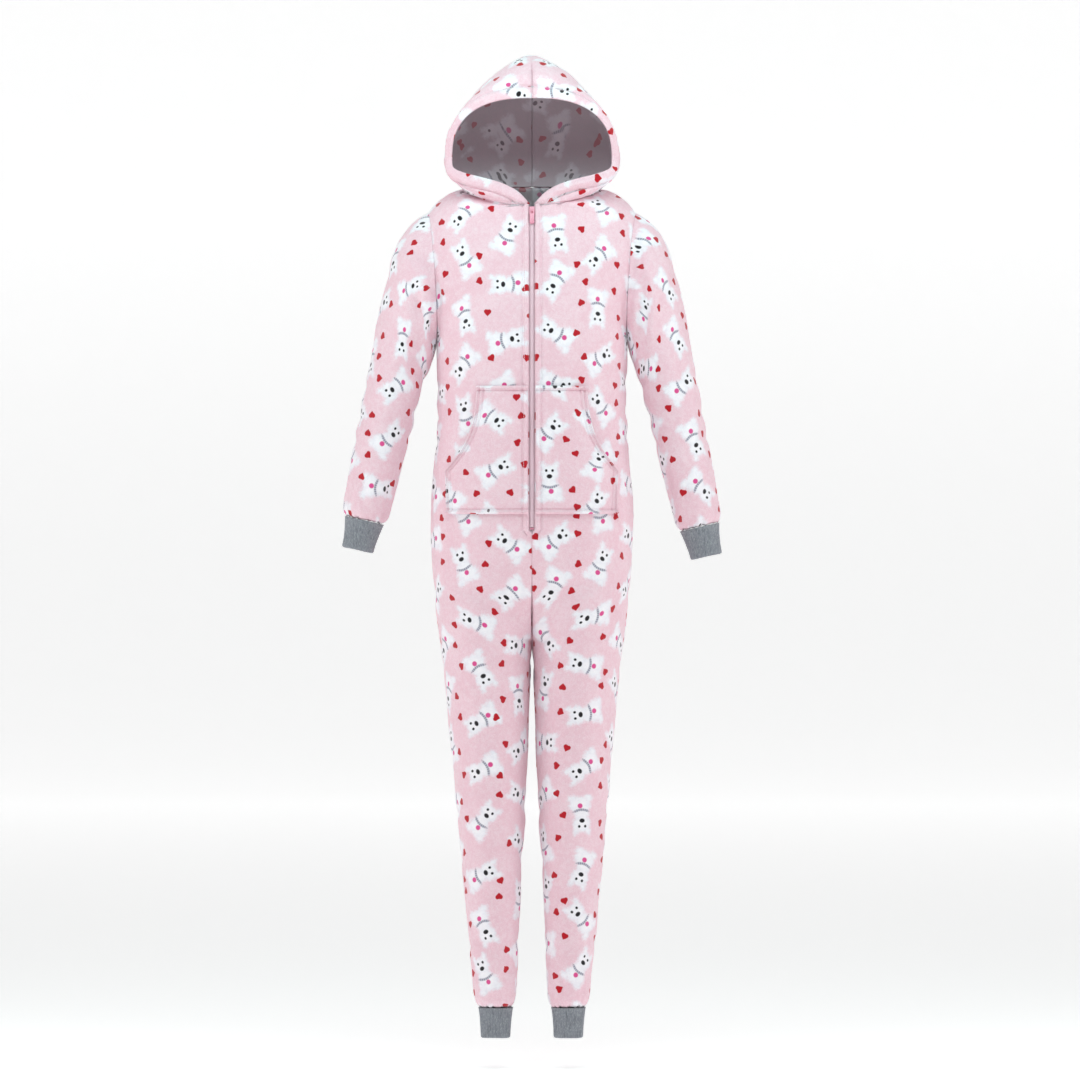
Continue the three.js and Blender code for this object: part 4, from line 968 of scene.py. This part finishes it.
class ONESIE_OT_sleeves(bpy.types.Operator):
    """Make the set-in sleeves"""

    bl_idname = "onesie.sleeves"
    bl_label = "Sleeves"

    def execute(self, context):
        for word, side in SIDES:
            turn = np.linspace(-PI, PI, 133)[None]
            along = np.linspace(0, 12, 145)[:, None]
            places = hung(folded(ring_point(along + 0 * turn, turn + 0 * along, side)), REACH[word])
            places[:4, :, 0] += side * SEAM
            across = lengths(places, 1)
            half = across[:, 80:81]
            down = lengths(places, 0)
            to_cuff = down[-1:] - down
            cut = np.stack([side * (across - half) + 640, to_cuff + 60 * side], -1)
            normals = normals_of(places, side, True)
            relief = creased(places, normals)
            relief += 0.7 * undulation(places, 80, 15) + 0.22 * undulation(places, 17, 16)
            relief *= smoothstep(down, 0, 14)
            relief += dip(down, 0.3, 4.5) + dip(np.minimum(across, across[:, -1:] - across), 1.2, 4.0)
            relief += gathers(to_cuff, turn, 16, 50 + side, 1.4, 15) + dip(to_cuff, 2.0, 3.0)
            MADE[f"sleeve_{word}"] = cloth(
                f"sleeve_{word}_cloth", places, cut, side, f"sleeve_{word}", relief, finishes().fleece,
                tube=True)
        return {"FINISHED"}


class ONESIE_OT_hood(bpy.types.Operator):
    """Make the hood's halves with the hem turned in round the face"""

    bl_idname = "onesie.hood"
    bl_label = "Hood"

    def execute(self, context):
        hem = context.scene.onesie_sizes.hem / MM
        for word, side in SIDES:
            u = np.concatenate([np.linspace(0, 0.08, 24)[:-1], np.linspace(0.08, 1, 116)])[:, None]
            v = np.concatenate([np.linspace(0, HOOD_SPLIT, 36)[:-1], np.linspace(HOOD_SPLIT, 1, 72)])[None]
            outer = mirrored(hood_point(u + 0 * v, v + 0 * u), side)
            normals = normals_of(outer, -side, False)
            along = lengths(outer, 0)
            rows = []
            for distance in (hem, 15.0, 12.0, 9.0, 6.0, 3.2, 1.2):
                rows.append(self.beyond(outer, along, distance) - 5.5 * self.beyond(normals, along, distance))
            edge, outwards = outer[0], normals[0]
            forward = outer[0] - outer[1]
            forward /= np.linalg.norm(forward, axis=-1, keepdims=True)
            for bend in np.linspace(PI, 0, 7)[:-1]:
                rows.append(edge + outwards * 2.75 * (math.cos(bend) - 1) + forward * 2.75 * math.sin(bend))
            wrapped = np.concatenate([np.stack(rows), outer])
            turned = len(rows)
            over = lengths(wrapped, 0)
            to_edge = over - over[turned:turned + 1]
            upwards = lengths(wrapped, 1)
            to_crown = upwards[:, -1:] - upwards
            cut = relaxed(outer, np.stack([to_edge, side * to_crown], -1)[turned:]) + (900, 40)
            forth = cut[0] - cut[1]
            forth /= np.linalg.norm(forth, axis=-1, keepdims=True)
            cut = np.concatenate([cut[0] - to_edge[:turned, :, None] * forth, cut])
            normals = normals_of(wrapped, -side, False)
            outside = np.arange(len(wrapped))[:, None] >= turned
            relief = creased(wrapped, normals) * smoothstep(to_edge, 2, 16)
            relief += (0.7 * undulation(wrapped, 70, 25) + 0.22 * undulation(wrapped, 17, 26)) * smoothstep(to_edge, -2, 12)
            relief *= smoothstep(over[-1:] - over, 0, 12) * np.where(outside, smoothstep(upwards, 0, 10), 1)
            relief += np.where(outside, 3.4 * np.sin(PI * np.clip(to_edge / 16, 0, 1)) + ridge(to_edge, 17.5, -2.8, 1.8), 0)
            relief += np.where(outside, gathers(np.abs(to_edge - 15), to_crown / 20, 9, 60 + side, 0.7, 10), 0)
            relief += dip(to_crown, 1.4, 4.0) * outside
            to_neck = over[-1:] - over
            relief += dip(to_neck, 0.4, 4.5) + dip(upwards, 0.4, 4.0) * outside

            def hold(moved):
                moved[:, -1, 0] = 0
                down = moved[-1] - moved[-2]
                moved[-1] += 0.6 * down / np.linalg.norm(down, axis=-1, keepdims=True)

            MADE[f"hood_{word}"] = cloth(
                f"hood_{word}_cloth", wrapped, cut, -side, f"hood_{word}", relief, finishes().fleece,
                hold=hold, hidden_rim=True)
            MADE[f"hood_{word}"].turned = turned
        return {"FINISHED"}

    def beyond(self, values, along, distance):
        """Values at a distance behind the face edge, in every column."""
        found = np.empty(values.shape[1:])
        for column in range(values.shape[1]):
            for part in range(3):
                found[column, part] = np.interp(distance, along[:, column], values[:, column, part])
        return found


def on_front(x, z, out):
    """A point on a front's outer face, folds and all, moved out by a distance."""
    def share_of(x):
        edge = centre_edge(-1, z)
        ratio = np.clip((np.abs(x) - edge) / (at(TRUNK, z).side - edge), -0.2, 1)
        return np.sign(ratio) * np.arcsin(np.abs(ratio) ** (1 / ROUNDNESS)) * 2 / PI

    def outward(share, height):
        found = folded(low_point(-1, np.abs(share), height))
        found[..., 0] = np.where(share < 0, 2 * centre_edge(-1, z) - found[..., 0], found[..., 0])
        return found

    share = share_of(x)
    here = outward(share, z)
    sideways = outward(share_of(x + 0.5), z) - here
    upwards = outward(share, z + 0.5) - here
    normal = np.cross(sideways, upwards)
    normal /= np.linalg.norm(normal, axis=-1, keepdims=True)
    return here + normal * np.asarray(out, float)[..., None]


class ONESIE_OT_pockets(bpy.types.Operator):
    """Make the two halves of the kangaroo pocket"""

    bl_idname = "onesie.pockets"
    bl_label = "Pockets"

    def execute(self, context):
        for word, side in SIDES:
            tall_share = np.concatenate([np.linspace(0, 0.07, 18)[:-1], np.linspace(0.07, 0.93, 50)[:-1], np.linspace(0.93, 1, 18)])
            z = lerp(POCKET_HEM_Z, POCKET_TOP_Z, tall_share)[:, None]
            share = np.concatenate([np.linspace(0, 0.13, 16)[:-1], np.linspace(0.13, 0.8, 24)[:-1], np.linspace(0.8, 1, 26)])[None]
            opened = np.clip((POCKET_TOP_Z - z) / (POCKET_TOP_Z - POCKET_TURN_Z), 0, 1)
            outer_x = lerp(POCKET.top_x, POCKET.side_x, opened ** POCKET.bend)
            sewn = smoothstep(POCKET_TURN_Z + 25 - z, 0, 45)
            tall = np.sin(PI * (z - POCKET_HEM_Z) / (POCKET_TOP_Z - POCKET_HEM_Z))
            gape = POCKET.gape * tall * np.sin(PI * share * lerp(0.72, 1, sewn))
            x = lerp(ZIP_GAP + SEAM, outer_x, share)
            places = mirrored(on_front(x, z + 0 * x, POCKET.out + gape), side)
            across, up = lengths(places, 1), lengths(places, 0)
            to_side, to_top = across[:, -1:] - across, up[-1:] - up
            cut = np.stack([side * across + 1500, up + 33 * side], -1)
            relief = creased(places, normals_of(places, side, False))
            relief += 0.7 * undulation(places, 85, 5) + 0.22 * undulation(places, 17, 6)
            relief += ridge(to_top, 3.0, 2.8, 2.4) + ridge(to_top, 7.6, -2.0, 1.5)
            relief += ridge(up, 3.0, 2.8, 2.4) + ridge(up, 7.6, -2.0, 1.5)
            relief += ridge(to_side, 2.8, 2.3, 2.0) + ridge(to_side, 6.2, -1.3, 1.1)
            relief += ridge(to_side, 9.0, 1.8, 1.9) + ridge(to_side, 12.8, -2.2, 1.5)
            relief += ridge(across, 4.0, 2.2, 2.8) + ridge(across, 9.2, -2.0, 1.6)
            for edge in (across, to_side, up, to_top):
                relief -= 1.0 * np.exp(-edge / 1.2)
            MADE[f"pocket_{word}"] = cloth(
                f"pocket_{word}_cloth", places, cut, side, f"pocket_{word}", relief, finishes().fleece)
        return {"FINISHED"}


class ONESIE_OT_cuffs(bpy.types.Operator):
    """Make the rib cuffs at the wrists and ankles"""

    bl_idname = "onesie.cuffs"
    bl_label = "Rib cuffs"

    def execute(self, context):
        for word, side in SIDES:
            self.make(f"wrist_cuff_{word}", WRIST_CUFF, self.at_wrist(side, REACH[word]), side)
            self.make(f"ankle_cuff_{word}", ANKLE_CUFF, self.at_ankle(side), side)
        return {"FINISHED"}

    def at_wrist(self, side, reach):
        last = at(SLEEVE, 12)
        across = np.array([last.out_x - last.in_x, last.out_z - last.in_z])
        across /= np.linalg.norm(across)
        centre = hung(place(side * (last.out_x + last.in_x) / 2, 0, (last.out_z + last.in_z) / 2), reach)
        return lambda x, y, z: place(
            centre[0] + side * (x * across[0] - z * across[1]), y, centre[2] + x * across[1] + z * across[0])

    def at_ankle(self, side):
        return lambda x, y, z: place(side * (LEG["middle"][0] + x), y, HEM_Z + z)

    def make(self, node, size, placed, side):
        sizes = bpy.context.scene.onesie_sizes
        columns = 4 * sizes.ribs
        places = cuff_places(size, placed, columns)
        across, down = lengths(places, 1), lengths(places, 0)
        cut = np.stack([across, down], -1)
        turn = np.linspace(-PI, PI, columns + 1)[None]
        ribs = np.cos(turn * sizes.ribs)
        relief = sizes.rib_height / MM / 2 * ribs * (1 - np.exp(-down / 3)) - 0.8 * np.exp(-down / 2)
        relief += 0.35 * undulation(places, 45, 45)
        MADE[node] = cloth(f"{node}_rib", places, cut, -side, node, relief, finishes().rib, tube=True, thick=0.0011)


class ONESIE_OT_zip(bpy.types.Operator):
    """Make the zip's tapes and its coil"""

    bl_idname = "onesie.zip"
    bl_label = "Zip"

    def execute(self, context):
        pitch = context.scene.onesie_sizes.tooth_pitch / MM
        for word, side in SIDES:
            z = np.linspace(ZIP.tape_end_z, ZIP.top_z, 184)[:, None]
            start = lerp(SEAM / 2, ZIP.parted, smoothstep(z, ZIP.parted_z - 3, ZIP.parted_z))
            x = lerp(start, ZIP.tape_half, np.linspace(0, 1, 9)[None])
            places = mirrored(on_front(x, z + 0 * x, -ZIP.tape_in + 0 * x), side)
            cut = np.stack([lengths(places, 1), lengths(places, 0)], -1)
            cloth(f"zip_tape_{word}", places, cut, side, f"zip_{word}", np.zeros(x.shape), finishes().tape,
                  thick=0.0011)
            count = int((ZIP.top_z - 1 - ZIP.coil_end_z) / pitch)
            z = ZIP.coil_end_z + 1 + pitch * (np.arange(count) + (0.5 if side > 0 else 0))
            out = lerp(1.25, ZIP.parted + 1.9, smoothstep(z, ZIP.parted_z - 3, ZIP.parted_z))
            here = on_front(out, z, np.full(len(z), -2.55))
            ahead = on_front(out, z + 0.5, np.full(len(z), -2.55)) - here
            outwards = on_front(out, z, np.full(len(z), -1.55)) - here
            bars(f"zip_coil_{word}", mirrored(here, side), mirrored(ahead, side), mirrored(outwards, side),
                 (4.1, 1.12, 2.3), finishes().coil)
        return {"FINISHED"}


def bars(name, centres, along, outwards, size, finish):
    """Small rounded bars: size is across, along and outwards, in millimetres."""
    mesh = bmesh.new()
    for centre, ahead, out in zip(centres, along, outwards):
        ahead, out = Vector(ahead).normalized(), Vector(out).normalized()
        across = ahead.cross(out).normalized()
        frame_of = Matrix((across, ahead, out)).transposed().to_4x4()
        frame_of.translation = Vector(centre) * MM
        bmesh.ops.create_cube(mesh, size=1, matrix=frame_of @ Matrix.Diagonal((*(part * MM for part in size), 1)))
    bmesh.ops.bevel(mesh, geom=mesh.edges, offset=min(size) * 0.28 * MM, segments=1, profile=0.5, affect="EDGES", material=-1)
    bmesh.ops.recalc_face_normals(mesh, faces=mesh.faces)
    for face in mesh.faces:
        face.smooth = True
    return finished(name, mesh, finish)


def refined(name, node, bevel, body="garment"):
    """A copy of a small CAD casting with its edges rounded and dressed in enamel."""
    mesh = bmesh.new()
    mesh.from_mesh(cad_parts[node].data)
    bmesh.ops.remove_doubles(mesh, verts=mesh.verts, dist=1e-6)
    bmesh.ops.dissolve_limit(mesh, angle_limit=0.02, verts=mesh.verts, edges=mesh.edges)
    sharp = [edge for edge in mesh.edges if edge.is_manifold and edge.calc_face_angle() > 0.5]
    bmesh.ops.bevel(mesh, geom=sharp, offset=bevel * MM, segments=3, profile=0.5, affect="EDGES", material=-1,
                    clamp_overlap=True)
    for face in mesh.faces:
        face.smooth = True
    return finished(name, mesh, finishes().enamel, node, body)


class ONESIE_OT_slider(bpy.types.Operator):
    """Make the zip's slider, pull tab and bottom stop"""

    bl_idname = "onesie.slider"
    bl_label = "Slider, pull tab and stop"

    def execute(self, context):
        refined("zip_slider_cast", "zip_slider", 0.35)
        refined("zip_pull_cast", "zip_pull", 0.28, "pull_tab")
        refined("zip_stop_cast", "zip_stop", 0.3)
        return {"FINISHED"}


def sewn(name, lines):
    """Stitches along lines of places and normals on cloth."""
    stitch = bpy.context.scene.onesie_sizes.stitch / MM
    centres, ahead, outwards = [], [], []
    for places, normals in lines:
        along = np.concatenate([[0], np.cumsum(np.linalg.norm(np.diff(places, axis=0), axis=-1))])
        stops = np.arange(stitch, along[-1] - stitch / 2, stitch)
        found = [np.stack([np.interp(stops + off, along, values[:, part]) for part in range(3)], -1)
                 for values, off in ((places, 0), (places, 0.5), (normals, 0))]
        centres.append(found[0] + found[2] * 0.12)
        ahead.append(found[1] - found[0])
        outwards.append(found[2])
    bars(name, np.concatenate(centres), np.concatenate(ahead), np.concatenate(outwards), (0.75, stitch * 0.78, 0.55), finishes().thread)


def line_beside(made, axis, distance, last=False, rows=slice(None)):
    """The line on a piece of cloth at a distance from its first or last row (axis 0) or column (axis 1)."""
    places, normals = made.places[rows], made.normals[rows]
    if axis == 0:
        places, normals = places.swapaxes(0, 1), normals.swapaxes(0, 1)
    if last:
        places, normals = places[:, ::-1], normals[:, ::-1]
    across = lengths(places, 1)
    pick = lambda values: np.stack([
        [np.interp(distance, across[row], values[row, :, part]) for part in range(3)] for row in range(len(values))])
    return pick(places), pick(normals)


class ONESIE_OT_stitching(bpy.types.Operator):
    """Sew the stitches beside the zip, round the pockets and along the hood's hem"""

    bl_idname = "onesie.stitching"
    bl_label = "Stitching"

    def execute(self, context):
        for word, _ in SIDES:
            front, pocket, hood = MADE[f"front_{word}"], MADE[f"pocket_{word}"], MADE[f"hood_{word}"]
            z = front.places[:, 0, 2]
            above = (z > POCKET_TOP_Z + 4) & (np.arange(len(z)) < len(z) - 35)
            below = (z > ZIP_END_Z + 4) & (z < POCKET_HEM_Z - 4)
            sewn(f"placket_stitches_{word}", [
                line_beside(front, 1, 9.2, rows=above), line_beside(front, 1, 9.2, rows=below),
                line_beside(pocket, 1, 9.2)])
            sewn(f"pocket_stitches_{word}", [
                line_beside(pocket, 1, 6.2, last=True), line_beside(pocket, 1, 12.8, last=True),
                line_beside(pocket, 0, 7.6), line_beside(pocket, 0, 7.6, last=True)])
            outer = SimpleNamespace(places=hood.places[hood.turned:], normals=hood.normals[hood.turned:])
            sewn(f"hood_stitches_{word}", [line_beside(outer, 0, 17.5)])
        return {"FINISHED"}


class ONESIE_OT_studio(bpy.types.Operator):
    """Set up the floor, backdrop, lights and camera"""

    bl_idname = "onesie.studio"
    bl_label = "Studio"

    def execute(self, context):
        self.backdrop()
        for name, size, spot, aim, watts, tint in (
                ("Softbox left", (1.1, 2.2), (-1.9, -0.5, -0.5), (0, 0, -0.6), 10.8, (1, 1, 1)),
                ("Softbox right", (1.1, 2.2), (1.9, -0.5, -0.5), (0, 0, -0.6), 10.8, (1, 1, 1)),
                ("Top light", (1.4, 0.9), (0, -0.95, 0.95), (0, 0, -0.05), 16, (0.74, 1, 0.97)),
                ("Fill", (1.4, 1.8), (0.2, -3.6, 0.3), (0, 0, -0.6), 1.5, (1, 1, 1))):
            self.softbox(name, size, spot, aim, watts, tint)
        world = bpy.data.worlds.new("White studio")
        world.use_nodes = True
        world.node_tree.nodes["Background"].inputs[0].default_value = (1, 1, 1, 1)
        world.node_tree.nodes["Background"].inputs[1].default_value = 0.32
        context.scene.world = world
        context.scene.view_settings.view_transform = "Standard"
        camera = bpy.data.objects.new("Camera", bpy.data.cameras.new("Camera"))
        context.collection.objects.link(camera)
        camera.location = (0.0132, -12.0, -0.5775)
        camera.rotation_euler = (PI / 2, 0, 0)
        camera.data.lens = 242.4
        camera.data.sensor_width = 36
        camera.data.clip_end = 40
        context.scene.camera = camera
        return {"FINISHED"}

    def backdrop(self):
        """A pale floor that bends up into a backdrop."""
        mesh = bmesh.new()
        start = [mesh.verts.new((-18.0, y, z)) for y, z in
                 [(-16.0, -1.45), (12.0, -1.45)]
                 + [(12.0 + 2.0 * math.sin(a), 0.55 - 2.0 * math.cos(a)) for a in np.linspace(0.16, PI / 2, 10)]
                 + [(14.0, 16.0)]]
        edges = [mesh.edges.new(pair) for pair in zip(start, start[1:])]
        pulled = bmesh.ops.extrude_edge_only(mesh, edges=edges)
        bmesh.ops.translate(mesh, vec=(36, 0, 0), verts=[v for v in pulled["geom"] if isinstance(v, bmesh.types.BMVert)])
        bmesh.ops.recalc_face_normals(mesh, faces=mesh.faces)
        for face in mesh.faces:
            face.smooth = True
        data = bpy.data.meshes.new("Backdrop")
        mesh.to_mesh(data)
        mesh.free()
        sheet = bpy.data.objects.new("Backdrop", data)
        bpy.context.collection.objects.link(sheet)
        material, nodes, shader = bare_material("Seamless paper")
        here = nodes.add("ShaderNodeTexCoord").outputs["Object"]
        grain = nodes.soft(nodes.noise(here, 60.0), 0.0, 1.0)
        nodes.tree.links.new(nodes.mix(grain, (0.93, 0.93, 0.93), (0.95, 0.95, 0.95)), shader.inputs["Base Color"])
        shader.inputs["Roughness"].default_value = 1
        shader.inputs["Specular IOR Level"].default_value = 0
        shader.inputs["Emission Color"].default_value = (1, 1, 1, 1)
        shader.inputs["Emission Strength"].default_value = 0.45
        data.materials.append(material)

    def softbox(self, name, size, spot, aim, watts, tint):
        light = bpy.data.lights.new(name, "AREA")
        light.shape = "RECTANGLE"
        light.size, light.size_y = size
        light.energy = watts
        light.color = tint
        lamp = bpy.data.objects.new(name, light)
        lamp.location = spot
        lamp.rotation_euler = (Vector(aim) - Vector(spot)).to_track_quat("-Z", "Y").to_euler()
        bpy.context.collection.objects.link(lamp)


class ONESIE_PT_panel(bpy.types.Panel):
    """The onesie's sizes, colours and pieces"""

    bl_label = "Onesie"
    bl_idname = "ONESIE_PT_panel"
    bl_space_type = "VIEW_3D"
    bl_region_type = "UI"
    bl_category = "Onesie"

    def draw(self, context):
        layout = self.layout
        for group in (context.scene.onesie_sizes, context.scene.onesie_colours):
            for name in group.__annotations__:
                layout.prop(group, name)
        for operator in OPERATORS:
            layout.operator(operator.bl_idname)


OPERATORS = (
    ONESIE_OT_body, ONESIE_OT_sleeves, ONESIE_OT_hood, ONESIE_OT_pockets, ONESIE_OT_cuffs, ONESIE_OT_zip,
    ONESIE_OT_slider, ONESIE_OT_stitching, ONESIE_OT_studio)
CLASSES = (OnesieSizes, OnesieColours, *OPERATORS, ONESIE_PT_panel)


def register():
    for cls in CLASSES:
        bpy.utils.register_class(cls)
    bpy.types.Scene.onesie_sizes = bpy.props.PointerProperty(type=OnesieSizes)
    bpy.types.Scene.onesie_colours = bpy.props.PointerProperty(type=OnesieColours)


def unregister():
    del bpy.types.Scene.onesie_colours
    del bpy.types.Scene.onesie_sizes
    for cls in reversed(CLASSES):
        bpy.utils.unregister_class(cls)


def main():
    register()
    for operator in (
            bpy.ops.onesie.body, bpy.ops.onesie.sleeves, bpy.ops.onesie.hood, bpy.ops.onesie.pockets,
            bpy.ops.onesie.cuffs, bpy.ops.onesie.zip, bpy.ops.onesie.slider, bpy.ops.onesie.stitching,
            bpy.ops.onesie.studio):
        operator()


if __name__ == "__main__":
    main()
